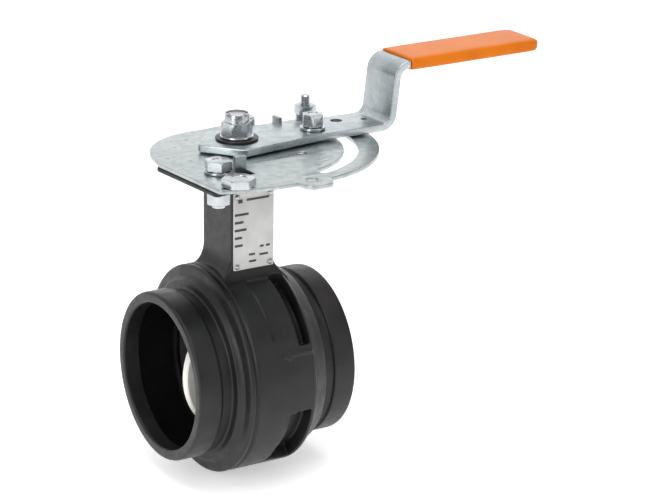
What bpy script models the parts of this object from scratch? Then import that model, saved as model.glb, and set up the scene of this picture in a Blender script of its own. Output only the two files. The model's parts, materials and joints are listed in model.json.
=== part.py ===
"""Grooved-end butterfly valve, 100 mm size, with a lockable throttling lever.

Frame: the origin is where the pipe axis crosses the stem axis, +X runs along the pipe and along
the lever, +Z runs up the stem.  The valve stands open.  Turning the lever -90 degrees about Z
closes it.  Every body is its own closed solid, and neighbours keep a small gap.
"""

import math

import bmesh
import bpy
from mathutils import Matrix

MM = 0.001
GAP = 0.3 * MM

# Body casting, turned about the pipe axis.
HALF_LENGTH = 59.5 * MM
PIPE_RADIUS = 57.15 * MM
GROOVE_RADIUS = 55.05 * MM
LIP_WIDTH = 16.4 * MM
LIP_ROUND = 1.6 * MM
BORE_RADIUS = 49.6 * MM
WATERWAY_RADIUS = 51.6 * MM
MOUTH_DEPTH = 11.0 * MM
DRUM_RADIUS = 70.8 * MM
RIM_LEFT = -29.0 * MM
RIM_WIDTH = 3.6 * MM
RIM_GROOVE = 2.4 * MM
RIM_GROOVE_DEPTH = 1.9 * MM
DRUM_RIGHT = 20.5 * MM
DRUM_END = 34.0 * MM
RING_STEPS = 56

# Cast pockets in the drum, as annular sectors measured from straight up, towards the front.
# Each is (start angle, end angle, floor radius, left side, right side).
POCKETS = (
    (19.5, 65.0, 61.0 * MM, 10.5 * MM, 19.4 * MM),
    (21.0, 60.0, 69.2 * MM, -8.0 * MM, 10.9 * MM),
    (102.0, 146.0, 61.0 * MM, 6.0 * MM, 17.8 * MM),
    (103.0, 144.0, 65.5 * MM, -2.0 * MM, 6.4 * MM),
)

# Neck and top flange.
NECK_FRONT = -21.5 * MM
NECK_BACK = 20.0 * MM
NECK_HALF_WIDTH = 15.4 * MM
FLANGE_TOP = 146.7 * MM
FLANGE_RIM = 3.2 * MM
FLANGE_LEFT = -62.0 * MM
FLANGE_RIGHT = 36.0 * MM
FLANGE_FRONT = -66.0 * MM
FLANGE_BACK = 46.0 * MM
FLANGE_DEPTH = 9.0 * MM
# Levels of the neck, each (height, spread aside, spread forward).
NECK_LEVELS = (
    (56.0 * MM, 13.0 * MM, 6.0 * MM),
    (65.0 * MM, 9.5 * MM, 4.5 * MM),
    (69.0 * MM, 5.6 * MM, 2.4 * MM),
    (72.4 * MM, 3.2 * MM, 0.0),
    (77.0 * MM, 1.2 * MM, 0.0),
    (84.0 * MM, 0.0, 0.0),
    (132.0 * MM, 0.0, 0.0),
    (138.5 * MM, 2.5 * MM, 2.5 * MM),
    (145.7 * MM, 4.0 * MM, 4.0 * MM),
)

# Seat and disc.  The disc edge is a zone of a sphere about the origin, so it turns freely.
SEAT_LEFT = -16.4 * MM
SEAT_RIGHT = -8.8 * MM
SEAT_OUTER = 55.4 * MM
DISC_SPHERE = 48.6 * MM
SEAT_CLEARANCE = 0.4 * MM
DISC_FACE = -15.0 * MM
DISC_BACK = -10.0 * MM
DISC_BOSS_RADIUS = 11.5 * MM
DISC_BOSS_HALF = 45.0 * MM

# Stem, bearings and seals.
STEM_RADIUS = 7.0 * MM
THREAD_RADIUS = 5.9 * MM
STEM_FLAT = 4.9 * MM
STEM_TOP = 172.8 * MM
STEM_SHOULDER = 150.5 * MM
STEM_DEPTH = 24.0 * MM
BEARING_RADIUS = 9.6 * MM
UPPER_BEARING = (58.0 * MM, 84.0 * MM)
LOWER_BEARING = (-64.5 * MM, -58.0 * MM)
LOWER_STEM_END = -64.0 * MM
CARTRIDGE_RADIUS = 13.0 * MM
CARTRIDGE = (112.5 * MM, 136.0 * MM)
RETAINER = (136.6 * MM, 138.0 * MM)
RETAINER_GROOVE = 14.2 * MM
PLUG_RADIUS = 11.6 * MM
PIN_RADIUS = 3.0 * MM
PIN_HEIGHT = 34.0 * MM

# Throttle plate.
PLATE_BOTTOM = 147.0 * MM
PLATE_THICKNESS = 2.7 * MM
PLATE_TOP = PLATE_BOTTOM + PLATE_THICKNESS
PLATE_RADIUS = 96.0 * MM
RIM_DRAWN_IN = 6.6 * MM
SLOT_RADIUS = 75.2 * MM
SLOT_HALF_WIDTH = 4.8 * MM
SLOT_FROM = -72.5
SLOT_TO = 24.0
LOCK_RADIUS = 80.7 * MM
LOCK_OFFSET = 6.0 * MM
LOCK_HOLE = 4.0 * MM
DRAIN_HOLE = (31.5 * MM, -30.5 * MM)
TAB_INNER = 19.7 * MM
TAB_WIDTH = 8.2 * MM
TAB_START = 43.6 * MM
TAB_HEIGHT = 9.6 * MM
TAB_WINDOW = 10.5 * MM
TAB_RELIEF = 0.5 * MM

# Lever, a flat bar with a spade end, cranked up to the grip.
LEVER_THICKNESS = 5.0 * MM
LEVER_BOTTOM = 150.8 * MM
LEVER_HALF_WIDTH = 17.6 * MM
LEVER_END = 229.6 * MM
CRANK_X = 110.6 * MM
CRANK_LEAN = math.radians(6.8)
CRANK_RADIUS = 9.0 * MM
TANG_HEIGHT = 194.4 * MM
GRIP_START = 125.0 * MM
GRIP_END = 232.6 * MM
GRIP_HALF_WIDTH = 19.6 * MM
GRIP_THICKNESS = 9.0 * MM
GRIP_RISE = math.radians(0.55)

# Fasteners: across flats and thickness of the hexagons, and radii of shanks and washers.
M8 = {"flats": 13.0 * MM, "shank": 4.0 * MM, "washer": 8.6 * MM}
M10 = {
    "flats": 16.0 * MM, "head": 6.4 * MM, "nut_flats": 14.4 * MM, "nut": 8.0 * MM,
    "shank": 5.0 * MM, "washer": 9.2 * MM,
}
CORNER_HEAD = {"flats": 19.0 * MM, "head": 5.6 * MM, "shank": 4.0 * MM}
WASHER_THICKNESS = 1.6 * MM
FRONT_BOLT = (-38.5 * MM, -43.5 * MM)
BACK_BOLT = (25.5 * MM, 38.5 * MM)
CORNER_SCREW = (-42.5 * MM, -75.8 * MM)
STOP_ANGLE = 22.0
STOP_NUT = 6.4 * MM
STOP_TOP = 170.0 * MM
LOCK_SCREW = (56.0 * MM, -4.0 * MM)
HUB_FLATS = 18.0 * MM
HUB_WASHER_RADIUS = 14.3 * MM
HUB_WASHER = 1.2 * MM
HUB_NUT_TOP = 173.8 * MM
HUB_NUT_HEX = 10.6 * MM
HUB_FLANGE = (11.4 * MM, 1.5 * MM)

# Nameplate.
NAMEPLATE_HALF_WIDTH = 15.2 * MM
NAMEPLATE = (73.0 * MM, 126.0 * MM)
NAMEPLATE_THICKNESS = 0.8 * MM

PARTS = None
CUTTERS = None


def clear_scene():
    """Remove the objects that the file opens with and make the two collections."""
    global PARTS, CUTTERS
    for item in list(bpy.data.objects):
        bpy.data.objects.remove(item, do_unlink=True)
    PARTS = bpy.data.collections.new("butterfly_valve")
    CUTTERS = bpy.data.collections.new("cutters")
    bpy.context.scene.collection.children.link(PARTS)
    bpy.context.scene.collection.children.link(CUTTERS)


def finish_material(name, color, roughness, metallic):
    """A Principled material, made once and shared by the pieces of one finish."""
    found = bpy.data.materials.get(name)
    if found:
        return found
    made = bpy.data.materials.new(name)
    made.use_nodes = True
    shader = made.node_tree.nodes["Principled BSDF"]
    shader.inputs["Base Color"].default_value = (*color, 1.0)
    shader.inputs["Roughness"].default_value = roughness
    shader.inputs["Metallic"].default_value = metallic
    return made


def black_coat():
    return finish_material("black_coat", (0.02, 0.02, 0.022), 0.42, 0.0)


def zinc():
    return finish_material("zinc_plate", (0.62, 0.66, 0.68), 0.35, 1.0)


def steel():
    return finish_material("stainless_steel", (0.55, 0.55, 0.54), 0.3, 1.0)


def nickel():
    return finish_material("nickel_plate", (0.78, 0.76, 0.72), 0.3, 1.0)


def rubber():
    return finish_material("rubber", (0.015, 0.015, 0.015), 0.8, 0.0)


def brass():
    return finish_material("brass", (0.72, 0.52, 0.22), 0.35, 1.0)


def bearing_plastic():
    return finish_material("bearing_plastic", (0.32, 0.27, 0.16), 0.6, 0.0)


def orange_vinyl():
    return finish_material("orange_vinyl", (0.9, 0.25, 0.02), 0.25, 0.0)


def white_nylon():
    return finish_material("white_nylon", (0.8, 0.82, 0.84), 0.5, 0.0)


def printed_metal():
    return finish_material("printed_metal", (0.75, 0.75, 0.73), 0.4, 0.6)


def add_mesh(name, mesh, material, cutter=False):
    """Put a mesh in the scene as a named part, or as a hidden cutter."""
    item = bpy.data.objects.new(name, mesh)
    if cutter:
        item.hide_render = True
        item.display_type = "WIRE"
        CUTTERS.objects.link(item)
    else:
        mesh.materials.append(material)
        PARTS.objects.link(item)
    return item


def smooth(mesh):
    """Smooth shading with the corners kept sharp."""
    mesh.shade_smooth()
    mesh.set_sharp_from_angle(angle=math.radians(35.0))


def arc(center, radius, start, end, count):
    """Points of an arc from start to end, in degrees, both ends included."""
    points = []
    for index in range(count + 1):
        angle = math.radians(start + (end - start) * index / count)
        points.append((center[0] + radius * math.cos(angle), center[1] + radius * math.sin(angle)))
    return points


def circle(center, radius, count):
    return arc(center, radius, 0.0, 360.0, count)[:-1]


def hexagon(center, flats, turn=0.0):
    return arc(center, flats / 2 / math.cos(math.pi / 6), turn, turn + 360.0, 6)[:-1]


def rounded(corners, count=4):
    """A closed outline from (x, y, radius) corners, each turned by an arc of its radius."""
    points = []
    total = len(corners)
    for index, (x, y, radius) in enumerate(corners):
        if radius <= 0.0:
            points.append((x, y))
            continue
        before = corners[index - 1]
        after = corners[(index + 1) % total]
        back = (before[0] - x, before[1] - y)
        ahead = (after[0] - x, after[1] - y)
        back_length = math.hypot(*back)
        ahead_length = math.hypot(*ahead)
        back = (back[0] / back_length, back[1] / back_length)
        ahead = (ahead[0] / ahead_length, ahead[1] / ahead_length)
        half = math.acos(max(-1.0, min(1.0, back[0] * ahead[0] + back[1] * ahead[1]))) / 2
        middle = (back[0] + ahead[0], back[1] + ahead[1])
        middle_length = math.hypot(*middle)
        reach = radius / math.sin(half)
        center = (x + middle[0] / middle_length * reach, y + middle[1] / middle_length * reach)
        tangent = radius / math.tan(half)
        first = (x + back[0] * tangent, y + back[1] * tangent)
        last = (x + ahead[0] * tangent, y + ahead[1] * tangent)
        start = math.atan2(first[1] - center[1], first[0] - center[0])
        turn = math.atan2(last[1] - center[1], last[0] - center[0]) - start
        turn = (turn + math.pi) % (2 * math.pi) - math.pi
        points.extend(arc(center, radius, math.degrees(start), math.degrees(start + turn), count))
    return points


def flat_piece(name, outlines, bottom, thickness, material, cutter=False, matrix=None):
    """A flat piece from a 2D curve: the first outline is its edge, the others are holes."""
    curve = bpy.data.curves.new(name + "_outline", "CURVE")
    curve.dimensions = "2D"
    curve.fill_mode = "BOTH"
    curve.extrude = thickness / 2
    for outline in outlines:
        spline = curve.splines.new("POLY")
        spline.points.add(len(outline) - 1)
        for point, place in zip(spline.points, outline):
            point.co = (place[0], place[1], 0.0, 1.0)
        spline.use_cyclic_u = True
    guide = bpy.data.objects.new(name + "_outline", curve)
    guide.matrix_world = (matrix or Matrix()) @ Matrix.Translation((0.0, 0.0, bottom + thickness / 2))
    bpy.context.scene.collection.objects.link(guide)
    graph = bpy.context.evaluated_depsgraph_get()
    mesh = bpy.data.meshes.new_from_object(guide.evaluated_get(graph))
    placed = guide.matrix_world.copy()
    bpy.data.objects.remove(guide, do_unlink=True)
    weld(mesh)
    mesh.materials.clear()
    item = add_mesh(name, mesh, material, cutter)
    item.matrix_world = placed
    smooth(mesh)
    return item


def weld(mesh):
    """Join a curve's loose caps to its sides and turn the faces outwards."""
    work = bmesh.new()
    work.from_mesh(mesh)
    bmesh.ops.remove_doubles(work, verts=work.verts, dist=0.001 * MM)
    bmesh.ops.recalc_face_normals(work, faces=work.faces)
    work.to_mesh(mesh)
    work.free()


def turned(name, profile, steps, material, axis="Z", cutter=False, closed=True):
    """A turned piece.  The profile is (radius, height) and runs down its outer side first."""
    mesh = bpy.data.meshes.new(name)
    work = bmesh.new()
    points = [work.verts.new((radius, 0.0, height)) for radius, height in profile]
    for first, second in zip(points, points[1:]):
        work.edges.new((first, second))
    if closed:
        work.edges.new((points[-1], points[0]))
    work.to_mesh(mesh)
    work.free()
    item = add_mesh(name, mesh, material, cutter)
    screw = item.modifiers.new("turn", "SCREW")
    screw.axis = "Z"
    screw.angle = 2 * math.pi
    screw.steps = steps
    screw.render_steps = steps
    screw.use_merge_vertices = True
    screw.merge_threshold = 0.00001
    screw.use_smooth_shade = True
    if axis == "X":
        item.rotation_euler = (0.0, math.pi / 2, 0.0)
    if axis == "Y":
        item.rotation_euler = (-math.pi / 2, 0.0, 0.0)
    return item


def block(name, low, high, material, cutter=False):
    """A box between two corners, from the cube primitive."""
    mesh = bpy.data.meshes.new(name)
    work = bmesh.new()
    size = [b - a for a, b in zip(low, high)]
    middle = [(a + b) / 2 for a, b in zip(low, high)]
    bmesh.ops.create_cube(work, size=1.0)
    bmesh.ops.scale(work, vec=size, verts=work.verts)
    bmesh.ops.translate(work, vec=middle, verts=work.verts)
    work.to_mesh(mesh)
    work.free()
    return add_mesh(name, mesh, material, cutter)


def rod(name, radius, low, high, place, material, segments=24, cutter=False):
    """An upright cylinder at an (x, y) place."""
    mesh = bpy.data.meshes.new(name)
    work = bmesh.new()
    matrix = Matrix.Translation((place[0], place[1], (low + high) / 2))
    bmesh.ops.create_cone(
        work, cap_ends=True, segments=segments, radius1=radius, radius2=radius,
        depth=high - low, matrix=matrix,
    )
    work.to_mesh(mesh)
    work.free()
    smooth(mesh)
    return add_mesh(name, mesh, material, cutter)


def boolean(target, other, operation="DIFFERENCE"):
    """Cut, join or intersect a part with a hidden helper shape."""
    step = target.modifiers.new(operation.lower(), "BOOLEAN")
    step.operation = operation
    step.solver = "EXACT"
    step.object = other


def mirror_front_to_back(outline):
    return [(-x, y) for x, y in reversed(outline)]


# ---------------------------------------------------------------- body

def half_profile(side):
    """Outer outline of one end, from the end face to the foot of the drum, as (radius, x)."""
    face = side * HALF_LENGTH
    lip = side * (HALF_LENGTH - LIP_WIDTH)
    edge = arc((PIPE_RADIUS - LIP_ROUND, HALF_LENGTH - LIP_ROUND), LIP_ROUND, 90.0, 0.0, 3)
    points = [(BORE_RADIUS + 0.6 * MM, face)]
    points.extend((radius, side * x) for radius, x in edge)
    points.append((PIPE_RADIUS, lip))
    points.append((GROOVE_RADIUS, lip))
    return points


def seat_sphere(radius, start, end, count):
    """Points of a sphere about the origin between two places on the pipe axis."""
    points = []
    for index in range(count + 1):
        x = start + (end - start) * index / count
        points.append((math.sqrt(radius * radius - x * x), x))
    return points


def body_profile():
    """The turned outline of the casting, as (radius, x): right end first, outside then bore."""
    right = half_profile(1.0)
    left = half_profile(-1.0)
    rim_right = RIM_LEFT + RIM_WIDTH
    profile = list(right)
    profile.append((GROOVE_RADIUS, DRUM_END))
    profile.extend([
        (DRUM_RADIUS - 9.6 * MM, DRUM_END),
        (DRUM_RADIUS - 8.4 * MM, DRUM_END - 2.4 * MM),
        (DRUM_RADIUS - 4.6 * MM, DRUM_RIGHT + 3.6 * MM),
        (DRUM_RADIUS - 0.9 * MM, DRUM_RIGHT + 0.6 * MM),
        (DRUM_RADIUS, DRUM_RIGHT - 1.0 * MM),
        (DRUM_RADIUS, rim_right + RIM_GROOVE),
        (DRUM_RADIUS - RIM_GROOVE_DEPTH, rim_right + RIM_GROOVE - 0.8 * MM),
        (DRUM_RADIUS - RIM_GROOVE_DEPTH, rim_right + 0.8 * MM),
        (DRUM_RADIUS, rim_right),
        (DRUM_RADIUS, RIM_LEFT + 1.2 * MM),
        (DRUM_RADIUS - 1.2 * MM, RIM_LEFT),
        (DRUM_RADIUS - 7.3 * MM, RIM_LEFT - 0.8 * MM),
        (DRUM_RADIUS - 9.3 * MM, RIM_LEFT - 3.2 * MM),
        (DRUM_RADIUS - 9.9 * MM, -DRUM_END),
        (GROOVE_RADIUS, -DRUM_END),
    ])
    profile.extend(reversed(left))
    mouth = HALF_LENGTH - MOUTH_DEPTH
    profile.extend([
        (BORE_RADIUS, -HALF_LENGTH + 0.6 * MM),
        (BORE_RADIUS, -mouth),
        (WATERWAY_RADIUS, -mouth + 2.0 * MM),
        (WATERWAY_RADIUS, SEAT_LEFT - 4.0 * MM),
        (BORE_RADIUS, SEAT_LEFT - 2.0 * MM),
        (BORE_RADIUS, SEAT_LEFT),
        (SEAT_OUTER, SEAT_LEFT),
        (SEAT_OUTER, SEAT_RIGHT),
        (BORE_RADIUS, SEAT_RIGHT),
        (BORE_RADIUS, SEAT_RIGHT + 22.0 * MM),
        (WATERWAY_RADIUS, SEAT_RIGHT + 25.0 * MM),
        (WATERWAY_RADIUS, mouth - 2.0 * MM),
        (BORE_RADIUS, mouth),
        (BORE_RADIUS, HALF_LENGTH - 0.6 * MM),
    ])
    return profile


def flange_outline():
    return rounded([
        (FLANGE_LEFT + 4.6 * MM, FLANGE_FRONT - 7.5 * MM, 3.0 * MM),
        (-44.0 * MM, FLANGE_FRONT - 4.5 * MM, 5.0 * MM),
        (-22.0 * MM, FLANGE_FRONT, 10.0 * MM),
        (FLANGE_RIGHT, -24.0 * MM, 10.0 * MM),
        (FLANGE_RIGHT, FLANGE_BACK, 9.0 * MM),
        (4.0 * MM, FLANGE_BACK, 12.0 * MM),
        (FLANGE_LEFT, -4.0 * MM, 3.0 * MM),
    ])


def flange_web_outline():
    """The thick middle of the flange, drawn in from its rim."""
    return rounded([
        (-48.0 * MM, -54.0 * MM, 7.0 * MM),
        (-27.0 * MM, -56.0 * MM, 7.0 * MM),
        (24.0 * MM, -22.0 * MM, 8.0 * MM),
        (33.0 * MM, 26.0 * MM, 8.0 * MM),
        (33.0 * MM, 43.5 * MM, 6.0 * MM),
        (14.0 * MM, 43.5 * MM, 6.0 * MM),
        (-24.0 * MM, 18.0 * MM, 8.0 * MM),
        (-48.0 * MM, -34.0 * MM, 7.0 * MM),
    ])


def neck_ring(height, aside, forward):
    """One level of the neck: its height, and how far its foot spreads aside and forward."""
    half = NECK_HALF_WIDTH + aside
    outline = rounded([
        (-half, NECK_FRONT - forward, 2.5 * MM),
        (half, NECK_FRONT - forward, 2.5 * MM),
        (half, NECK_BACK + forward, 3.5 * MM),
        (-half, NECK_BACK + forward, 3.5 * MM),
    ])
    return [(x, y, height) for x, y in outline]


def make_neck():
    """The neck, lofted through its levels so that its foot and head spread into the casting."""
    mesh = bpy.data.meshes.new("neck_shape")
    work = bmesh.new()
    rings = []
    for height, aside, forward in NECK_LEVELS:
        rings.append([work.verts.new(point) for point in neck_ring(height, aside, forward)])
    for low, high in zip(rings, rings[1:]):
        for index in range(len(low)):
            after = (index + 1) % len(low)
            work.faces.new((low[index], low[after], high[after], high[index]))
    work.faces.new(list(reversed(rings[0])))
    work.faces.new(rings[-1])
    work.to_mesh(mesh)
    work.free()
    return add_mesh("neck_shape", mesh, None, cutter=True)


def pocket_cutter(name, pocket, mirrored):
    """An annular sector about the pipe axis, from start to end degrees from straight up."""
    start, end, floor, left, right = pocket
    outer = DRUM_RADIUS + 6.0 * MM
    count = 10
    outline = arc((0.0, 0.0), outer, 90.0 + start, 90.0 + end, count)
    outline.extend(arc((0.0, 0.0), floor, 90.0 + end, 90.0 + start, count))
    if mirrored:
        outline = mirror_front_to_back(outline)
    # The outline's x is the world's +Y, so the front of the valve is at 90 + angle when turned.
    turn = Matrix(((0, 0, 1, 0), (1, 0, 0, 0), (0, 1, 0, 0), (0, 0, 0, 1)))
    return flat_piece(name, [outline], left, right - left, None, cutter=True, matrix=turn)


def upper_passage_profile():
    """The stepped hole for the upper bearing, the seal cartridge and the retaining ring."""
    top = FLANGE_TOP + 2.0 * MM
    retainer = RETAINER_GROOVE + GAP
    return [
        (0.0, top),
        (CARTRIDGE_RADIUS, top),
        (CARTRIDGE_RADIUS, RETAINER[1] + GAP),
        (retainer, RETAINER[1] + GAP),
        (retainer, RETAINER[0] - GAP),
        (CARTRIDGE_RADIUS, RETAINER[0] - GAP),
        (CARTRIDGE_RADIUS, CARTRIDGE[0] - GAP),
        (BEARING_RADIUS + GAP, CARTRIDGE[0] - GAP),
        (BEARING_RADIUS + GAP, UPPER_BEARING[0] - GAP),
        (STEM_RADIUS + 2 * GAP, UPPER_BEARING[0] - GAP),
        (STEM_RADIUS + 2 * GAP, 40.0 * MM),
        (0.0, 40.0 * MM),
    ]


def lower_passage_profile():
    """The stepped hole for the lower bearing and the bottom plug."""
    bottom = -DRUM_RADIUS - 2.0 * MM
    shelf = LOWER_BEARING[0] - GAP
    return [
        (0.0, -40.0 * MM),
        (STEM_RADIUS + 2 * GAP, -40.0 * MM),
        (STEM_RADIUS + 2 * GAP, LOWER_BEARING[1] + GAP),
        (BEARING_RADIUS + GAP, LOWER_BEARING[1] + GAP),
        (BEARING_RADIUS + GAP, shelf),
        (PLUG_RADIUS, shelf),
        (PLUG_RADIUS, bottom),
        (0.0, bottom),
    ]


def make_body():
    """The ductile iron casting: grooved ends, drum, neck and top flange in one piece."""
    body = turned("body_casting", body_profile(), RING_STEPS, black_coat(), axis="X")
    neck = make_neck()
    flange = flat_piece(
        "flange_shape", [flange_outline()], FLANGE_TOP - FLANGE_RIM, FLANGE_RIM, None, cutter=True,
    )
    web = flat_piece(
        "flange_web_shape", [flange_web_outline()], FLANGE_TOP - FLANGE_DEPTH,
        FLANGE_DEPTH - 1.0 * MM, None, cutter=True,
    )
    for shape in (neck, flange, web):
        boolean(body, shape, "UNION")
    for index, pocket in enumerate(POCKETS):
        for mirrored in (False, True):
            side = "back" if mirrored else "front"
            boolean(body, pocket_cutter(f"pocket_{side}_{index}", pocket, mirrored))
    boolean(body, turned("stem_passage", upper_passage_profile(), 32, None, cutter=True, closed=False))
    boolean(body, turned("plug_passage", lower_passage_profile(), 32, None, cutter=True, closed=False))
    for label, place in (("front", FRONT_BOLT), ("back", BACK_BOLT)):
        hole = rod(
            f"{label}_bolt_hole", M10["shank"] + GAP, FLANGE_TOP - 20.0 * MM, FLANGE_TOP + 5.0 * MM,
            place, None, cutter=True,
        )
        boolean(body, hole)
    return body


def make_seat():
    """The rubber seat, held in the groove of the bore.  Its lip is a zone of a sphere."""
    lip_left = DISC_FACE - 1.0 * MM
    lip_right = DISC_BACK + 1.0 * MM
    outer = SEAT_OUTER - GAP
    profile = [
        (outer, SEAT_RIGHT - GAP),
        (outer, SEAT_LEFT + GAP),
        (BORE_RADIUS + 0.3 * MM, SEAT_LEFT + GAP),
    ]
    profile.extend(seat_sphere(DISC_SPHERE + SEAT_CLEARANCE, lip_left, lip_right, 5))
    profile.append((BORE_RADIUS + 0.3 * MM, SEAT_RIGHT - GAP))
    return turned("seat_ring", profile, RING_STEPS, rubber(), axis="X")


def ring(name, inner, outer, low, high, material, steps=24):
    """A plain turned ring about the stem axis."""
    profile = [(outer, high), (outer, low), (inner, low), (inner, high)]
    return turned(name, profile, steps, material)


def o_ring(name, major, minor, height):
    profile = [(major + x, height + z) for x, z in circle((0.0, 0.0), minor, 8)]
    return turned(name, list(reversed(profile)), 24, rubber())


def make_stem_fittings():
    """Bearings, brass seal cartridge with its rubber rings, retaining ring and bottom plug."""
    bearing_bore = STEM_RADIUS + GAP
    ring("upper_bearing", bearing_bore, BEARING_RADIUS, *UPPER_BEARING, bearing_plastic())
    ring("lower_bearing", bearing_bore, BEARING_RADIUS, *LOWER_BEARING, bearing_plastic())
    low, high = CARTRIDGE
    outer = CARTRIDGE_RADIUS - GAP
    outer_seal = 129.0 * MM
    inner_seal = 119.0 * MM
    half = 1.4 * MM
    profile = [
        (outer, high),
        (outer, outer_seal + half),
        (outer - 2.0 * MM, outer_seal + half),
        (outer - 2.0 * MM, outer_seal - half),
        (outer, outer_seal - half),
        (outer, low),
        (bearing_bore, low),
        (bearing_bore, inner_seal - half),
        (bearing_bore + 1.9 * MM, inner_seal - half),
        (bearing_bore + 1.9 * MM, inner_seal + half),
        (bearing_bore, inner_seal + half),
        (bearing_bore, high),
    ]
    turned("seal_cartridge", profile, 24, brass())
    o_ring("cartridge_o_ring", outer - 0.85 * MM, 0.8 * MM, outer_seal)
    o_ring("stem_o_ring", bearing_bore + 0.9 * MM, 0.75 * MM, inner_seal)
    ring("retaining_ring", 9.4 * MM, RETAINER_GROOVE - GAP, *RETAINER, steel())
    plug = rod(
        "bottom_plug", PLUG_RADIUS - GAP, -DRUM_RADIUS + 1.2 * MM, LOWER_BEARING[0] - 2 * GAP,
        (0.0, 0.0), zinc(), segments=32,
    )
    socket = flat_piece(
        "plug_socket", [hexagon((0.0, 0.0), 8.0 * MM)], -DRUM_RADIUS - 1.0 * MM, 5.5 * MM, None,
        cutter=True,
    )
    boolean(plug, socket)


def make_nameplate():
    """A thin blank plate on the front of the neck, held by four drive pins."""
    back = NECK_FRONT - GAP
    front = back - NAMEPLATE_THICKNESS
    low, high = NAMEPLATE
    inset = 2.6 * MM
    radius = 1.2 * MM
    places = {
        "lower_left": (-NAMEPLATE_HALF_WIDTH + inset, low + inset),
        "lower_right": (NAMEPLATE_HALF_WIDTH - inset, low + inset),
        "upper_left": (-NAMEPLATE_HALF_WIDTH + inset, high - inset),
        "upper_right": (NAMEPLATE_HALF_WIDTH - inset, high - inset),
    }
    holes = [circle(place, radius, 12) for place in places.values()]
    outline = rounded([
        (-NAMEPLATE_HALF_WIDTH, low, 0.8 * MM),
        (NAMEPLATE_HALF_WIDTH, low, 0.8 * MM),
        (NAMEPLATE_HALF_WIDTH, high, 0.8 * MM),
        (-NAMEPLATE_HALF_WIDTH, high, 0.8 * MM),
    ], 2)
    stand = Matrix.Rotation(math.pi / 2, 4, "X")
    flat_piece(
        "nameplate", [outline] + holes, -back, NAMEPLATE_THICKNESS, printed_metal(), matrix=stand,
    )
    for label, (x, z) in places.items():
        head = front - GAP
        profile = [
            (0.0, -head + 0.9 * MM),
            (1.3 * MM, -head + 0.6 * MM),
            (1.9 * MM, -head),
            (radius - 0.25 * MM, -head),
            (radius - 0.25 * MM, -back + 0.02 * MM),
            (0.0, -back + 0.02 * MM),
        ]
        pin = turned(f"nameplate_pin_{label}", profile, 12, steel(), closed=False)
        pin.rotation_euler = (math.pi / 2, 0.0, 0.0)
        pin.location = (x, 0.0, z)


# ---------------------------------------------------------------- throttle plate

def slot_outline():
    """The arc slot with round ends."""
    outer = arc((0.0, 0.0), SLOT_RADIUS + SLOT_HALF_WIDTH, SLOT_FROM, SLOT_TO, 20)
    inner = arc((0.0, 0.0), SLOT_RADIUS - SLOT_HALF_WIDTH, SLOT_TO, SLOT_FROM, 20)
    end = arc((0.0, 0.0), SLOT_RADIUS, SLOT_TO, SLOT_TO, 1)[0]
    start = arc((0.0, 0.0), SLOT_RADIUS, SLOT_FROM, SLOT_FROM, 1)[0]
    end_cap = arc(end, SLOT_HALF_WIDTH, SLOT_TO, SLOT_TO + 180.0, 6)[1:-1]
    start_cap = arc(start, SLOT_HALF_WIDTH, SLOT_FROM + 180.0, SLOT_FROM + 360.0, 6)[1:-1]
    return outer + end_cap + inner + start_cap


def plate_outline():
    """Sector outline: a round left end, a cut-off left side, an outer arc and a padlock lug."""
    left_end = arc((-6.0 * MM, -4.0 * MM), 53.8 * MM, 84.0, 170.0, 12)
    left_side = rounded([
        (-61.6 * MM, -7.0 * MM, 0.0),
        (-57.0 * MM, -77.6 * MM, 3.5 * MM),
        (-45.0 * MM, -81.9 * MM, 8.0 * MM),
        (-22.0 * MM, -86.0 * MM, 0.0),
    ], 3)
    lug = rounded([
        (-6.5 * MM, -86.8 * MM, 0.0),
        (-2.4 * MM, -98.6 * MM, 5.0 * MM),
        (14.0 * MM, -98.2 * MM, 4.0 * MM),
        (18.6 * MM, -87.8 * MM, 0.0),
    ], 4)
    outer = []
    for index in range(25):
        share = index / 24
        radius = PLATE_RADIUS - RIM_DRAWN_IN * (1.0 - share) ** 1.6
        outer.append(arc((0.0, 0.0), radius, -76.0 + 90.0 * share, 0.0, 1)[0])
    back = rounded([
        (90.5 * MM, 27.0 * MM, 0.0),
        (82.0 * MM, 41.0 * MM, 9.0 * MM),
        (40.0 * MM, 41.0 * MM, 16.0 * MM),
        (19.0 * MM, 52.0 * MM, 12.0 * MM),
        (6.0 * MM, 50.5 * MM, 0.0),
    ], 4)
    return left_end + left_side + lug + outer + back[1:-1]


def tab_outline(low, high, front):
    """A rectangle drawn beside the open lever, or turned to its place for the closed stop."""
    outline = [(low[0], low[1]), (high[0], low[1]), (high[0], high[1]), (low[0], high[1])]
    if front:
        return [(-y, -x) for x, y in outline]
    return outline


def tab_window(front):
    """The opening left where a stop tab was bent up."""
    low = (TAB_START + PLATE_THICKNESS - TAB_RELIEF, TAB_INNER - TAB_RELIEF)
    high = (TAB_START + PLATE_THICKNESS + TAB_WINDOW, TAB_INNER + TAB_WIDTH + TAB_RELIEF)
    return tab_outline(low, high, front)


def tab_foot(front):
    """A stop tab seen from above, standing on the inner end of its window."""
    low = (TAB_START, TAB_INNER)
    high = (TAB_START + PLATE_THICKNESS, TAB_INNER + TAB_WIDTH)
    return tab_outline(low, high, front)


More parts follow.
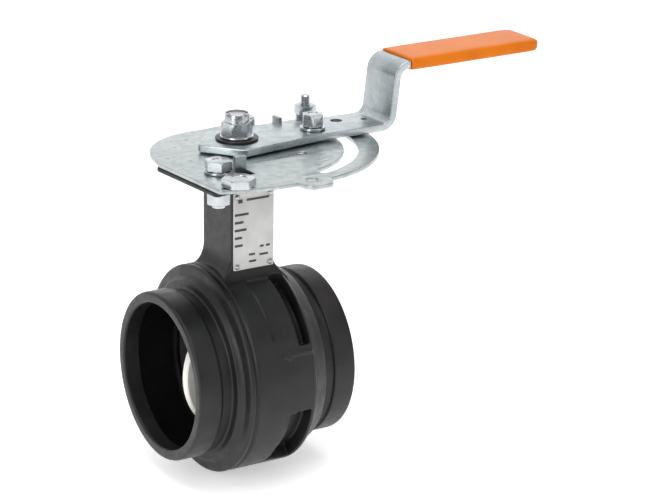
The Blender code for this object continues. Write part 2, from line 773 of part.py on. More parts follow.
def make_plate():
    """The zinc plated throttle plate with its slot, padlock hole and two bent-up stops."""
    holes = [
        slot_outline(),
        circle((0.0, 0.0), STEM_RADIUS + 0.6 * MM, 24),
        circle((LOCK_OFFSET, -LOCK_RADIUS - 4.0 * MM), LOCK_HOLE, 16),
        circle(FRONT_BOLT, M10["shank"] + GAP, 16),
        circle(BACK_BOLT, M10["shank"] + GAP, 16),
        circle(CORNER_SCREW, CORNER_HEAD["shank"] + GAP, 16),
        circle(DRAIN_HOLE, 3.2 * MM, 12),
        tab_window(True),
        tab_window(False),
    ]
    plate = flat_piece("throttle_plate", [plate_outline()] + holes, PLATE_BOTTOM, PLATE_THICKNESS, zinc())
    for front in (True, False):
        side = "closed" if front else "open"
        tab = flat_piece(
            f"{side}_stop_tab", [tab_foot(front)], PLATE_BOTTOM + 0.2 * MM,
            TAB_HEIGHT + PLATE_THICKNESS, None, cutter=True,
        )
        boolean(plate, tab, "UNION")
    return plate


def washer(name, place, bottom, fastener):
    hole = circle(place, fastener["shank"] + GAP, 16)
    outline = circle(place, fastener["washer"], 24)
    return flat_piece(name, [outline, hole], bottom, WASHER_THICKNESS, zinc())


def nut(name, place, bottom, flats, height, hole, turn):
    outlines = [hexagon(place, flats, turn), circle(place, hole, 16)]
    return flat_piece(name, outlines, bottom, height, zinc())


def bolt(name, place, head_bottom, end, fastener, turn):
    """A hex bolt: the head stands on head_bottom and the shank runs down to end."""
    item = rod(name, fastener["shank"], end, head_bottom + 1.0 * MM, place, zinc(), 16)
    head = flat_piece(
        name + "_head", [hexagon(place, fastener["flats"], turn)], head_bottom, fastener["head"],
        None, cutter=True,
    )
    boolean(item, head, "UNION")
    return item


def make_plate_fasteners():
    """Two bolts that clamp the plate to the flange, and the low screw at the plate's corner."""
    under = FLANGE_TOP - FLANGE_DEPTH
    seat = PLATE_TOP + GAP
    for label, place, turn in (("front", FRONT_BOLT, 12.0), ("back", BACK_BOLT, 25.0)):
        washer(f"{label}_bolt_washer", place, seat, M10)
        head_bottom = seat + WASHER_THICKNESS + GAP
        nut_top = under - GAP
        end = nut_top - M10["nut"] - 2.5 * MM
        bolt(f"{label}_plate_bolt", place, head_bottom, end, M10, turn)
        nut(
            f"{label}_bolt_nut", place, nut_top - M10["nut"], M10["nut_flats"], M10["nut"],
            M10["shank"] + GAP, -2.0,
        )
    bolt("corner_screw", CORNER_SCREW, seat, PLATE_BOTTOM, CORNER_HEAD, 36.0)


def stop_place():
    return arc((0.0, 0.0), SLOT_RADIUS, STOP_ANGLE, STOP_ANGLE, 1)[0]


def make_memory_stop():
    """The stop bolt in the arc slot: carriage head below, two nuts above, behind the lever."""
    place = stop_place()
    head_top = PLATE_BOTTOM - GAP
    item = rod("stop_bolt", M8["shank"] - 0.8 * MM, head_top - 1.0 * MM, STOP_TOP, place, zinc(), 16)
    head = rod("stop_bolt_head", 8.6 * MM, head_top - 3.6 * MM, head_top, place, None, 24, cutter=True)
    boolean(item, head, "UNION")
    hole = M8["shank"] - 0.8 * MM + GAP
    low = PLATE_TOP + GAP
    outline = [circle(place, 7.2 * MM, 24), circle(place, hole, 16)]
    flat_piece("stop_washer", outline, low, 1.2 * MM, zinc())
    low += 1.2 * MM + GAP
    nut("stop_lower_nut", place, low, 13.0 * MM, 5.0 * MM, hole, 8.0)
    low += 5.0 * MM + GAP
    nut("stop_upper_nut", place, low, 13.0 * MM, STOP_NUT, hole, 27.0)


# ---------------------------------------------------------------- lever and what turns with it

def arm_height(x):
    """Height of the grip arm's middle above the origin at a place along the pipe."""
    return TANG_HEIGHT + (x - GRIP_START) * math.tan(GRIP_RISE)


def crank_line():
    """Middle line of the bar in the XZ plane, with the two bends as arcs."""
    low = LEVER_BOTTOM + LEVER_THICKNESS / 2
    lean = math.tan(CRANK_LEAN)
    foot = (CRANK_X, low)
    head = (CRANK_X + (TANG_HEIGHT - low) * lean, TANG_HEIGHT)
    turn = math.degrees(math.pi / 2 - CRANK_LEAN)
    tangent = CRANK_RADIUS * math.tan(math.radians(turn) / 2)
    first = (foot[0] - tangent, low + CRANK_RADIUS)
    second = (head[0] + tangent, TANG_HEIGHT - CRANK_RADIUS)
    lower = arc(first, CRANK_RADIUS, -90.0, -90.0 + turn, 8)
    upper = arc(second, CRANK_RADIUS, 90.0 + turn, 90.0 + math.degrees(GRIP_RISE), 8)
    beyond = LEVER_END + 5.0 * MM
    return [(-40.0 * MM, low)] + lower + upper + [(beyond, arm_height(beyond))]


def strip_outline(line, half):
    """A closed outline at a constant distance on both sides of a line."""
    left = []
    right = []
    for index, (x, y) in enumerate(line):
        before = line[max(index - 1, 0)]
        after = line[min(index + 1, len(line) - 1)]
        length = math.hypot(after[0] - before[0], after[1] - before[1])
        normal = (-(after[1] - before[1]) / length, (after[0] - before[0]) / length)
        left.append((x + normal[0] * half, y + normal[1] * half))
        right.append((x - normal[0] * half, y - normal[1] * half))
    return left + list(reversed(right))


def lever_plan():
    """The lever from above: spade end round the stem, then a straight bar."""
    half = LEVER_HALF_WIDTH
    front = [
        (-28.2 * MM, -1.6 * MM, 1.0 * MM),
        (-8.5 * MM, -26.2 * MM, 4.0 * MM),
        (52.0 * MM, -half, 30.0 * MM),
        (LEVER_END, -half, 6.0 * MM),
    ]
    back = [(x, -y, radius) for x, y, radius in reversed(front)]
    return rounded(front + back, 4)


def stem_hole():
    """The double-D hole that fits the flats of the stem."""
    radius = STEM_RADIUS + GAP
    flat = STEM_FLAT + GAP
    limit = math.degrees(math.asin(flat / radius))
    right = arc((0.0, 0.0), radius, -limit, limit, 6)
    left = arc((0.0, 0.0), radius, 180.0 - limit, 180.0 + limit, 6)
    return right + left


def make_lever():
    """The bar: its side outline extruded across, then trimmed to its outline from above."""
    stand = Matrix.Rotation(math.pi / 2, 4, "X")
    outline = strip_outline(crank_line(), LEVER_THICKNESS / 2)
    lever = flat_piece("lever", [outline], -35.0 * MM, 70.0 * MM, zinc(), matrix=stand)
    holes = [
        stem_hole(),
        circle((LOCK_RADIUS, LOCK_OFFSET), LOCK_HOLE, 16),
        circle((99.0 * MM, 0.0), 2.2 * MM, 12),
        circle(LOCK_SCREW, M8["shank"] + GAP, 16),
    ]
    plan = flat_piece(
        "lever_plan", [lever_plan()] + holes, LEVER_BOTTOM - 5.0 * MM, 60.0 * MM, None, cutter=True,
    )
    boolean(lever, plan, "INTERSECT")
    return lever


def make_grip():
    """The dipped sleeve over the end of the bar, closed at its far end."""
    low = (GRIP_START, -GRIP_HALF_WIDTH, TANG_HEIGHT - GRIP_THICKNESS / 2)
    high = (GRIP_END, GRIP_HALF_WIDTH, TANG_HEIGHT + GRIP_THICKNESS / 2)
    outline = rounded([
        (low[0], low[1], 1.0 * MM),
        (high[0], low[1], 9.5 * MM),
        (high[0], high[1], 9.5 * MM),
        (low[0], high[1], 1.0 * MM),
    ], 5)
    rise = Matrix.Translation((GRIP_START, 0.0, TANG_HEIGHT)) @ Matrix.Rotation(-GRIP_RISE, 4, "Y")
    rise = rise @ Matrix.Translation((-GRIP_START, 0.0, -TANG_HEIGHT))
    grip = flat_piece("grip", [outline], low[2], GRIP_THICKNESS, orange_vinyl(), matrix=rise)
    edges = grip.modifiers.new("round_edges", "BEVEL")
    edges.width = 2.8 * MM
    edges.segments = 3
    edges.angle_limit = math.radians(60.0)
    half = LEVER_THICKNESS / 2 + GAP
    pocket = rounded([
        (GRIP_START - 5.0 * MM, -LEVER_HALF_WIDTH - GAP, 0.0),
        (LEVER_END + GAP, -LEVER_HALF_WIDTH - GAP, 6.0 * MM),
        (LEVER_END + GAP, LEVER_HALF_WIDTH + GAP, 6.0 * MM),
        (GRIP_START - 5.0 * MM, LEVER_HALF_WIDTH + GAP, 0.0),
    ], 4)
    tang = flat_piece(
        "grip_pocket", [pocket], TANG_HEIGHT - half, 2 * half, None, cutter=True, matrix=rise,
    )
    boolean(grip, tang)


def make_hub():
    """Washer, lock nut and its nylon ring on the threaded end of the stem."""
    top = LEVER_BOTTOM + LEVER_THICKNESS
    hole = THREAD_RADIUS + GAP
    low = top + GAP
    outline = [circle((0.0, 0.0), HUB_WASHER_RADIUS, 32), circle((0.0, 0.0), hole, 24)]
    flat_piece("hub_washer", outline, low, HUB_WASHER, black_coat())
    low += HUB_WASHER + GAP
    hex_top = low + HUB_NUT_HEX
    profile = [
        (7.4 * MM, HUB_NUT_TOP),
        (8.2 * MM, HUB_NUT_TOP - 1.0 * MM),
        (8.4 * MM, low + HUB_FLANGE[1]),
        (HUB_FLANGE[0], low + HUB_FLANGE[1] - 0.5 * MM),
        (HUB_FLANGE[0], low),
        (hole, low),
        (hole, hex_top),
        (7.5 * MM, hex_top),
        (7.5 * MM, HUB_NUT_TOP - 0.8 * MM),
        (7.0 * MM, HUB_NUT_TOP),
    ]
    hub_nut = turned("hub_nut", profile, 32, zinc())
    outline = [hexagon((0.0, 0.0), HUB_FLATS, 40.7), circle((0.0, 0.0), hole, 32)]
    shell = flat_piece(
        "hub_nut_hex", outline, low + 1.0 * MM, HUB_NUT_HEX - 1.0 * MM, None, cutter=True,
    )
    boolean(hub_nut, shell, "UNION")
    ring(
        "hub_nut_insert", hole, 7.2 * MM, hex_top + GAP, HUB_NUT_TOP - 1.4 * MM, white_nylon(),
    )


def make_lock_screw():
    """The clamp screw through the bar, which presses on the throttle plate."""
    top = LEVER_BOTTOM + LEVER_THICKNESS
    washer("lock_screw_washer", LOCK_SCREW, top + GAP, M8)
    head_bottom = top + 2 * GAP + WASHER_THICKNESS
    bolt("lock_screw", LOCK_SCREW, head_bottom, PLATE_TOP + GAP, {**M8, "head": 8.6 * MM}, 2.5)


def make_stems():
    """The long upper stem with flats and thread, and the short lower stem."""
    profile = [
        (0.0, STEM_TOP),
        (THREAD_RADIUS - 0.8 * MM, STEM_TOP),
        (THREAD_RADIUS, STEM_TOP - 0.8 * MM),
        (THREAD_RADIUS, LEVER_BOTTOM + LEVER_THICKNESS - 0.2 * MM),
        (STEM_RADIUS, LEVER_BOTTOM + LEVER_THICKNESS - 0.2 * MM),
        (STEM_RADIUS, STEM_DEPTH + 0.5 * MM),
        (STEM_RADIUS - 0.5 * MM, STEM_DEPTH),
        (0.0, STEM_DEPTH),
    ]
    upper = turned("upper_stem", profile, 32, steel(), closed=False)
    for side in (-1.0, 1.0):
        near = side * STEM_FLAT
        far = side * (STEM_RADIUS + 2.0 * MM)
        flat = block(
            f"stem_flat_{'front' if side < 0 else 'back'}",
            (-12.0 * MM, min(near, far), STEM_SHOULDER),
            (12.0 * MM, max(near, far), STEM_SHOULDER + 10.0 * MM),
            None, cutter=True,
        )
        boolean(upper, flat)
    lower = rod("lower_stem", STEM_RADIUS, LOWER_STEM_END, -STEM_DEPTH, (0.0, 0.0), steel(), 32)
    for stem, side in ((upper, 1.0), (lower, -1.0)):
        boolean(stem, pin_cutter(f"{stem.name}_pin_hole", side, PIN_RADIUS + GAP))


def pin_profile(radius):
    return [
        (0.0, 13.0 * MM),
        (radius, 13.0 * MM),
        (radius, -16.0 * MM),
        (0.0, -16.0 * MM),
    ]


def pin_cutter(name, side, radius):
    cutter = turned(name, pin_profile(radius), 16, None, axis="Y", cutter=True, closed=False)
    cutter.location = (0.0, 0.0, side * PIN_HEIGHT)
    return cutter


def make_disc():
    """The plated disc, set to the front of the stem axis, with a boss along the stem."""
    rim = seat_sphere(DISC_SPHERE, DISC_BACK - 1.0 * MM, DISC_FACE + 0.6 * MM, 5)
    profile = [(0.0, DISC_BACK), (rim[0][0] - 1.5 * MM, DISC_BACK)]
    profile.extend(rim)
    profile.append((rim[-1][0] - 0.8 * MM, DISC_FACE))
    profile.append((30.0 * MM, DISC_FACE - 0.6 * MM))
    profile.append((0.0, DISC_FACE - 1.0 * MM))
    disc = turned("disc", profile, RING_STEPS, nickel(), axis="Y", closed=False)
    boss = rod(
        "disc_boss", DISC_BOSS_RADIUS, -DISC_BOSS_HALF, DISC_BOSS_HALF, (0.0, 0.0), None, 32,
        cutter=True,
    )
    boolean(disc, boss, "UNION")
    for side, label in ((1.0, "upper"), (-1.0, "lower")):
        inner = side * (STEM_DEPTH - GAP)
        outer = side * (DISC_BOSS_HALF + 8.0 * MM)
        hole = rod(
            f"disc_{label}_bore", STEM_RADIUS + GAP, min(inner, outer), max(inner, outer),
            (0.0, 0.0), None, 32, cutter=True,
        )
        boolean(disc, hole)
        boolean(disc, pin_cutter(f"disc_{label}_pin_hole", side, PIN_RADIUS + GAP))
        low = DISC_FACE - 0.2 * MM
        high = DISC_BOSS_RADIUS - 0.6 * MM
        profile = [(0.0, high), (PIN_RADIUS, high), (PIN_RADIUS, low), (0.0, low)]
        pin = turned(f"disc_pin_{label}", profile, 16, steel(), axis="Y", closed=False)
        pin.location = (0.0, 0.0, side * PIN_HEIGHT)


def group_moving_parts():
    """Parent all that turns with the lever to an empty on the stem axis."""
    axis = bpy.data.objects.new("stem_axis", None)
    PARTS.objects.link(axis)
    moving = (
        "lever", "grip", "hub_washer", "hub_nut", "hub_nut_insert", "lock_screw",
        "lock_screw_washer", "upper_stem", "lower_stem", "disc", "disc_pin_upper",
        "disc_pin_lower",
    )
    for name in moving:
        bpy.data.objects[name].parent = axis


def main():
    clear_scene()
    make_body()
    make_seat()
    make_stem_fittings()
    make_nameplate()
    make_plate()
    make_plate_fasteners()
    make_memory_stop()
    make_lever()
    make_grip()
    make_hub()
    make_lock_screw()
    make_stems()
    make_disc()
    group_moving_parts()


main()
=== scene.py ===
"""The looks of a grooved-end butterfly valve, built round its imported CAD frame.

Sizes are in metres and in the frame of the CAD part: the origin is where the pipe axis crosses the
stem axis, +X runs along the pipe and the lever, +Z runs up the stem, -Y faces the nameplate.
"""

import json
import math

import bmesh
import bpy
from mathutils import Matrix, Vector

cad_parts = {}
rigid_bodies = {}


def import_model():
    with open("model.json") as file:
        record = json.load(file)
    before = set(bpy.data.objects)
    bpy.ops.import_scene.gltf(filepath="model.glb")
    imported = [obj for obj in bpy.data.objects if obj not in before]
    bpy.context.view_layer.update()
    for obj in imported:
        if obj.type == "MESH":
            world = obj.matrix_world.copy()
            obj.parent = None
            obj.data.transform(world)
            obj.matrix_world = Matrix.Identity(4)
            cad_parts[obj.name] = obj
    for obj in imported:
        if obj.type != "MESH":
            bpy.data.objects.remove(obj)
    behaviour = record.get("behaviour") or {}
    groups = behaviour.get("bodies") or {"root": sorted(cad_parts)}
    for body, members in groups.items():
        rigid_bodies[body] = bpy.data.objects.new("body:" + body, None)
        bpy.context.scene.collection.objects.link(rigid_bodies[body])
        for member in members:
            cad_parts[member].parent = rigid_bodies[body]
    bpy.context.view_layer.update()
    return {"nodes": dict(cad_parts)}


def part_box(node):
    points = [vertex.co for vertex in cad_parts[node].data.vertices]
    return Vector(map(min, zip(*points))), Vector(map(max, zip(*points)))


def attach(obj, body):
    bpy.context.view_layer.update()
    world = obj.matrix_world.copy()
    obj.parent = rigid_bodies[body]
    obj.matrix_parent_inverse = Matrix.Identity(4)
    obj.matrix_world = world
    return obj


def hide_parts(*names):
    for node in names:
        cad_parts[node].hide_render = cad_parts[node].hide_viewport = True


for item in list(bpy.data.objects):
    bpy.data.objects.remove(item, do_unlink=True)
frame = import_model()
MM = 0.001
FIXED = "valve_body"
TURNING = "stem_and_handle"
SHAVE = 0.02 * MM


# ---------------------------------------------------------------- outlines

def arc(center, radius, start, end, count):
    """Points of an arc from start to end, in degrees, both ends included."""
    points = []
    for index in range(count + 1):
        angle = math.radians(start + (end - start) * index / count)
        points.append((center[0] + radius * math.cos(angle), center[1] + radius * math.sin(angle)))
    return points


def circle(center, radius, count=48):
    return arc(center, radius, 0.0, 360.0, count)[:-1]


def hexagon(center, flats, turn=0.0):
    return arc(center, flats / 2 / math.cos(math.pi / 6), turn, turn + 360.0, 6)[:-1]


def rounded(corners, count=6):
    """A closed outline from (x, y, radius) corners, each turned by an arc of its radius."""
    points = []
    for index, (x, y, radius) in enumerate(corners):
        if radius <= 0.0:
            points.append((x, y))
            continue
        back = Vector((corners[index - 1][0] - x, corners[index - 1][1] - y))
        after = corners[(index + 1) % len(corners)]
        ahead = Vector((after[0] - x, after[1] - y))
        back.normalize()
        ahead.normalize()
        half = back.angle(ahead) / 2
        middle = (back + ahead).normalized() * (radius / math.sin(half))
        center = (x + middle.x, y + middle.y)
        tangent = radius / math.tan(half)
        first = Vector((x, y)) + back * tangent - Vector(center)
        last = Vector((x, y)) + ahead * tangent - Vector(center)
        start = math.atan2(first.y, first.x)
        turn = (math.atan2(last.y, last.x) - start + math.pi) % (2 * math.pi) - math.pi
        points.extend(arc(center, radius, math.degrees(start), math.degrees(start + turn), count))
    return points


# ---------------------------------------------------------------- meshes

def new_object(name, mesh):
    made = bpy.data.objects.new(name, mesh)
    bpy.context.scene.collection.objects.link(made)
    return made


def shade(target, angle=32.0):
    target.data.shade_smooth()
    target.data.set_sharp_from_angle(angle=math.radians(angle))


def settle(target):
    """Replace a mesh by what its modifiers make of it, in the frame's own coordinates."""
    bpy.context.view_layer.update()
    graph = bpy.context.evaluated_depsgraph_get()
    mesh = bpy.data.meshes.new_from_object(target.evaluated_get(graph))
    mesh.transform(target.matrix_world)
    target.modifiers.clear()
    target.data = mesh
    target.matrix_world = Matrix()
    return target


def flat_piece(name, outlines, bottom, thickness, round_edge=0.3 * MM, matrix=None):
    """A flat piece with rounded edges: the first outline is its rim, the others are holes."""
    curve = bpy.data.curves.new(name, "CURVE")
    curve.dimensions = "2D"
    curve.fill_mode = "BOTH"
    curve.extrude = thickness / 2 - round_edge
    curve.bevel_depth = round_edge
    curve.bevel_resolution = 2
    curve.offset = -round_edge
    for outline in outlines:
        spline = curve.splines.new("POLY")
        spline.points.add(len(outline) - 1)
        for point, place in zip(spline.points, outline):
            point.co = (place[0], place[1], 0.0, 1.0)
        spline.use_cyclic_u = True
    guide = bpy.data.objects.new(name, curve)
    guide.matrix_world = (matrix or Matrix()) @ Matrix.Translation((0.0, 0.0, bottom + thickness / 2))
    bpy.context.scene.collection.objects.link(guide)
    bpy.context.view_layer.update()
    graph = bpy.context.evaluated_depsgraph_get()
    mesh = bpy.data.meshes.new_from_object(guide.evaluated_get(graph))
    mesh.transform(guide.matrix_world)
    bpy.data.objects.remove(guide, do_unlink=True)
    work = bmesh.new()
    work.from_mesh(mesh)
    bmesh.ops.remove_doubles(work, verts=work.verts, dist=0.001 * MM)
    bmesh.ops.recalc_face_normals(work, faces=work.faces)
    work.to_mesh(mesh)
    work.free()
    mesh.materials.clear()
    made = new_object(name, mesh)
    shade(made)
    return made


def lathe(name, profile, steps=96, axis="Z", place=(0.0, 0.0, 0.0), closed=False):
    """A turned piece from (radius, height) points.  An open profile starts and ends on the axis."""
    work = bmesh.new()
    rings = []
    for radius, height in profile:
        if radius < 1e-7:
            rings.append([work.verts.new((0.0, 0.0, height))])
            continue
        ring = []
        for index in range(steps):
            angle = 2 * math.pi * index / steps
            ring.append(work.verts.new((radius * math.cos(angle), radius * math.sin(angle), height)))
        rings.append(ring)
    pairs = list(zip(rings, rings[1:]))
    if closed:
        pairs.append((rings[-1], rings[0]))
    for first, second in pairs:
        for index in range(steps):
            after = (index + 1) % steps
            corners = [first[index % len(first)], first[after % len(first)]]
            corners += [second[after % len(second)], second[index % len(second)]]
            unique = list(dict.fromkeys(corners))
            if len(unique) > 2:
                work.faces.new(unique)
    bmesh.ops.recalc_face_normals(work, faces=work.faces)
    mesh = bpy.data.meshes.new(name)
    work.to_mesh(mesh)
    work.free()
    turn = {"X": Matrix.Rotation(math.pi / 2, 4, "Y"), "Y": Matrix.Rotation(-math.pi / 2, 4, "X"),
            "-Y": Matrix.Rotation(math.pi / 2, 4, "X"), "Z": Matrix()}[axis]
    mesh.transform(Matrix.Translation(place) @ turn)
    made = new_object(name, mesh)
    shade(made)
    return made


def loft(name, rings):
    """A closed solid through outlines of equal point counts."""
    work = bmesh.new()
    levels = [[work.verts.new(point) for point in ring] for ring in rings]
    for low, high in zip(levels, levels[1:]):
        for index in range(len(low)):
            after = (index + 1) % len(low)
            work.faces.new((low[index], low[after], high[after], high[index]))
    work.faces.new(list(reversed(levels[0])))
    work.faces.new(levels[-1])
    bmesh.ops.recalc_face_normals(work, faces=work.faces)
    mesh = bpy.data.meshes.new(name)
    work.to_mesh(mesh)
    work.free()
    return new_object(name, mesh)


def combine(target, others, operation):
    """Cut, join or intersect with other meshes, which are used up."""
    for other in others:
        step = target.modifiers.new(operation, "BOOLEAN")
        step.operation = operation
        step.solver = "EXACT"
        step.object = other
        settle(target)
        bpy.data.objects.remove(other, do_unlink=True)
    return target


def cut(target, *others):
    return combine(target, others, "DIFFERENCE")


def join(target, *others):
    return combine(target, others, "UNION")


def soften(target, width, segments=3, angle=35.0):
    """Round the edges of a mesh whose faces meet more sharply than the angle."""
    step = target.modifiers.new("round_edges", "BEVEL")
    step.width = width
    step.segments = segments
    step.limit_method = "ANGLE"
    step.angle_limit = math.radians(angle)
    step.use_clamp_overlap = True
    settle(target)
    shade(target)
    return target


# ---------------------------------------------------------------- materials

def material(name, build):
    made = bpy.data.materials.new(name)
    made.use_nodes = True
    tree = made.node_tree
    build(tree, tree.nodes["Principled BSDF"])
    return made


def noise(tree, scale, detail=4.0, roughness=0.55, stretch=None):
    """A noise texture in object space, stretched along an axis if asked."""
    place = tree.nodes.new("ShaderNodeTexCoord")
    mapping = tree.nodes.new("ShaderNodeMapping")
    mapping.inputs["Scale"].default_value = stretch or (1.0, 1.0, 1.0)
    texture = tree.nodes.new("ShaderNodeTexNoise")
    texture.inputs["Scale"].default_value = scale
    texture.inputs["Detail"].default_value = detail
    texture.inputs["Roughness"].default_value = roughness
    tree.links.new(place.outputs["Object"], mapping.inputs["Vector"])
    tree.links.new(mapping.outputs["Vector"], texture.inputs["Vector"])
    return texture.outputs["Fac"]


def ramp(tree, source, low, high, start=0.35, end=0.65):
    """A value or a colour that goes from low to high as the source goes from start to end."""
    node = tree.nodes.new("ShaderNodeValToRGB")
    for stop, place, value in zip(node.color_ramp.elements, (start, end), (low, high)):
        stop.position = place
        stop.color = (*value, 1.0) if isinstance(value, tuple) else (value, value, value, 1.0)
    tree.links.new(source, node.inputs["Fac"])
    return node.outputs["Color"]


def bump(tree, shader, source, strength, distance):
    node = tree.nodes.new("ShaderNodeBump")
    node.inputs["Strength"].default_value = strength
    node.inputs["Distance"].default_value = distance
    tree.links.new(source, node.inputs["Height"])
    tree.links.new(node.outputs["Normal"], shader.inputs["Normal"])


def metal(base, other, rough_low, rough_high, grain, scale=90.0, grain_scale=1400.0, stretch=None):
    """A metal whose colour and roughness drift slowly, with a fine grain."""
    def build(tree, shader):
        shader.inputs["Metallic"].default_value = 1.0
        drift = noise(tree, scale)
        tree.links.new(ramp(tree, drift, base, other), shader.inputs["Base Color"])
        fine = noise(tree, grain_scale, 3.0, 0.6, stretch)
        tree.links.new(ramp(tree, fine, rough_low, rough_high), shader.inputs["Roughness"])
        bump(tree, shader, fine, grain, 0.04 * MM)
    return build


def math_node(tree, operation, first, second):
    """A math node between a socket and a socket or a number."""
    node = tree.nodes.new("ShaderNodeMath")
    node.operation = operation
    for slot, value in zip(node.inputs, (first, second)):
        if isinstance(value, float):
            slot.default_value = value
        else:
            tree.links.new(value, slot)
    return node.outputs["Value"]


def blend_colors(tree, share, first, second):
    node = tree.nodes.new("ShaderNodeMix")
    node.data_type = "RGBA"
    tree.links.new(share, node.inputs["Factor"])
    for slot, value in ((node.inputs[6], first), (node.inputs[7], second)):
        tree.links.new(value, slot)
    return node.outputs[2]


def bore_painted_shade_mask(tree):
    """One inside the waterway, between the two machined mouths, and zero elsewhere: it marks where the coat
    gets painted shade.
    """
    place = tree.nodes.new("ShaderNodeTexCoord")
    parts = tree.nodes.new("ShaderNodeSeparateXYZ")
    tree.links.new(place.outputs["Object"], parts.inputs["Vector"])
    y, z = parts.outputs["Y"], parts.outputs["Z"]
    square = math_node(tree, "ADD", math_node(tree, "MULTIPLY", y, y), math_node(tree, "MULTIPLY", z, z))
    inside = math_node(tree, "LESS_THAN", square, (53.0 * MM) ** 2)
    along = math_node(tree, "ABSOLUTE", parts.outputs["X"], 0.0)
    deep = math_node(tree, "LESS_THAN", along, 48.0 * MM)
    return math_node(tree, "MULTIPLY", inside, deep)


def black_coat(tree, shader):
    """Satin black coating over a cast skin, with painted shade inside the waterway: a darker black there and
    less specular reflection.
    """
    drift = ramp(tree, noise(tree, 38.0), (0.0085, 0.0085, 0.009), (0.016, 0.016, 0.017))
    # Painted shade: a darker black for the inside of the bore.
    bore = ramp(tree, noise(tree, 60.0), (0.003, 0.003, 0.003), (0.005, 0.005, 0.005))
    bore_shade_share = bore_painted_shade_mask(tree)
    tree.links.new(blend_colors(tree, bore_shade_share, drift, bore), shader.inputs["Base Color"])
    tree.links.new(ramp(tree, noise(tree, 150.0), 0.34, 0.48), shader.inputs["Roughness"])
    # Painted shade: the specular reflection is turned down inside the bore.
    bore_shade_specular = math_node(tree, "SUBTRACT", 0.36, math_node(tree, "MULTIPLY", bore_shade_share, 0.3))
    tree.links.new(bore_shade_specular, shader.inputs["Specular IOR Level"])
    bump(tree, shader, noise(tree, 620.0, 5.0, 0.6), 0.3, 0.1 * MM)


def orange_vinyl(tree, shader):
    """Glossy dipped vinyl with faint unevenness."""
    color = ramp(tree, noise(tree, 30.0), (0.66, 0.155, 0.002), (0.72, 0.18, 0.004))
    tree.links.new(color, shader.inputs["Base Color"])
    shader.inputs["Roughness"].default_value = 0.34
    shader.inputs["IOR"].default_value = 1.3
    shader.inputs["Specular IOR Level"].default_value = 0.3
    shader.inputs["Coat Weight"].default_value = 0.04
    shader.inputs["Coat Roughness"].default_value = 0.1
    bump(tree, shader, noise(tree, 70.0, 2.0), 0.22, 0.25 * MM)


def plain(base, roughness, metallic=0.0, grain=0.15, scale=500.0):
    """A plain finish with a slight drift and a fine grain."""
    def build(tree, shader):
        darker = tuple(0.86 * value for value in base)
        tree.links.new(ramp(tree, noise(tree, 60.0), base, darker), shader.inputs["Base Color"])
        shader.inputs["Metallic"].default_value = metallic
        shader.inputs["Roughness"].default_value = roughness
        bump(tree, shader, noise(tree, scale), grain, 0.05 * MM)
    return build


COAT = material("black_coat", black_coat)
ZINC = material("zinc_plate", metal(
    (0.36, 0.405, 0.415), (0.49, 0.525, 0.52), 0.24, 0.42, 0.35, scale=160.0))
BRUSHED = material("zinc_lever", metal(
    (0.37, 0.42, 0.44), (0.5, 0.54, 0.55), 0.22, 0.38, 0.35, grain_scale=900.0, stretch=(0.06, 1.6, 1.0)))
BRIGHT = material("bright_zinc", metal((0.43, 0.46, 0.48), (0.55, 0.57, 0.58), 0.18, 0.3, 0.15))
STAINLESS = material("stainless_steel", metal((0.4, 0.4, 0.4), (0.5, 0.5, 0.49), 0.22, 0.34, 0.2))
NICKEL = material("nickel_plate", plain((0.88, 0.86, 0.79), 0.48, 0.3, 0.08))
DARK_STEEL = material("dark_washer", plain((0.03, 0.031, 0.034), 0.38, 0.6, 0.1))
PRINTED = material("printed_metal", plain((0.6, 0.6, 0.585), 0.42, 0.45, 0.06))
INK = material("dark_print", plain((0.05, 0.05, 0.055), 0.6))
BRASS = material("brass", metal((0.7, 0.5, 0.2), (0.78, 0.58, 0.27), 0.25, 0.4, 0.2))
RUBBER = material("rubber", plain((0.014, 0.014, 0.015), 0.75, grain=0.3))
SLEEVE = material("bearing_plastic", plain((0.3, 0.25, 0.15), 0.6))
NYLON = material("white_nylon", plain((0.72, 0.76, 0.8), 0.45))
VINYL = material("orange_vinyl", orange_vinyl)


def dress(target, finish, slot, body, *nodes):
    """Give a piece its finish, its body and the CAD nodes that it stands for."""
    target.data.materials.clear()
    target.data.materials.append(finish)
    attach(target, body)
    if nodes:
        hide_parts(*nodes)
    return target


def keep_node(name, finish):
    """Show a CAD node as it is, with a worked-out finish."""
    node = frame["nodes"][name]
    node.data.materials.clear()
    node.data.materials.append(finish)
    shade(node)


# ---------------------------------------------------------------- body casting

HALF_LENGTH = 59.5 * MM
PIPE_RADIUS = 57.15 * MM
GROOVE_RADIUS = 55.05 * MM
LIP = 43.1 * MM
BORE = 49.6 * MM
BORE_WALL = BORE + 0.1 * MM
MOUTH_EDGE = BORE + 0.8 * MM
RELIEF = 51.7 * MM
SEAT_POCKET = 55.4 * MM
DRUM = 70.8 * MM
DRUM_END = 34.0 * MM
NECK_FRONT = -21.5 * MM
NECK_BACK = 20.0 * MM
NECK_HALF = 15.4 * MM
NECK_FOOT = 64.0
NECK_FOOT_HEIGHT = 18.0
NECK_HEAD = 132.5 * MM
NECK_HEAD_HEIGHT = 12.7 * MM
FLANGE_TOP = 146.7 * MM
FLANGE_DEPTH = 9.0 * MM
FLANGE_RIM_THICKNESS = 3.2 * MM
SEAL_BORE = 13.1 * MM
SEAL_GROOVE = 14.4 * MM
BEARING_BORE = 10.0 * MM
PLUG_BORE = 11.7 * MM
STEM_BORE = 7.7 * MM
FLANGE_HOLE = 5.4 * MM


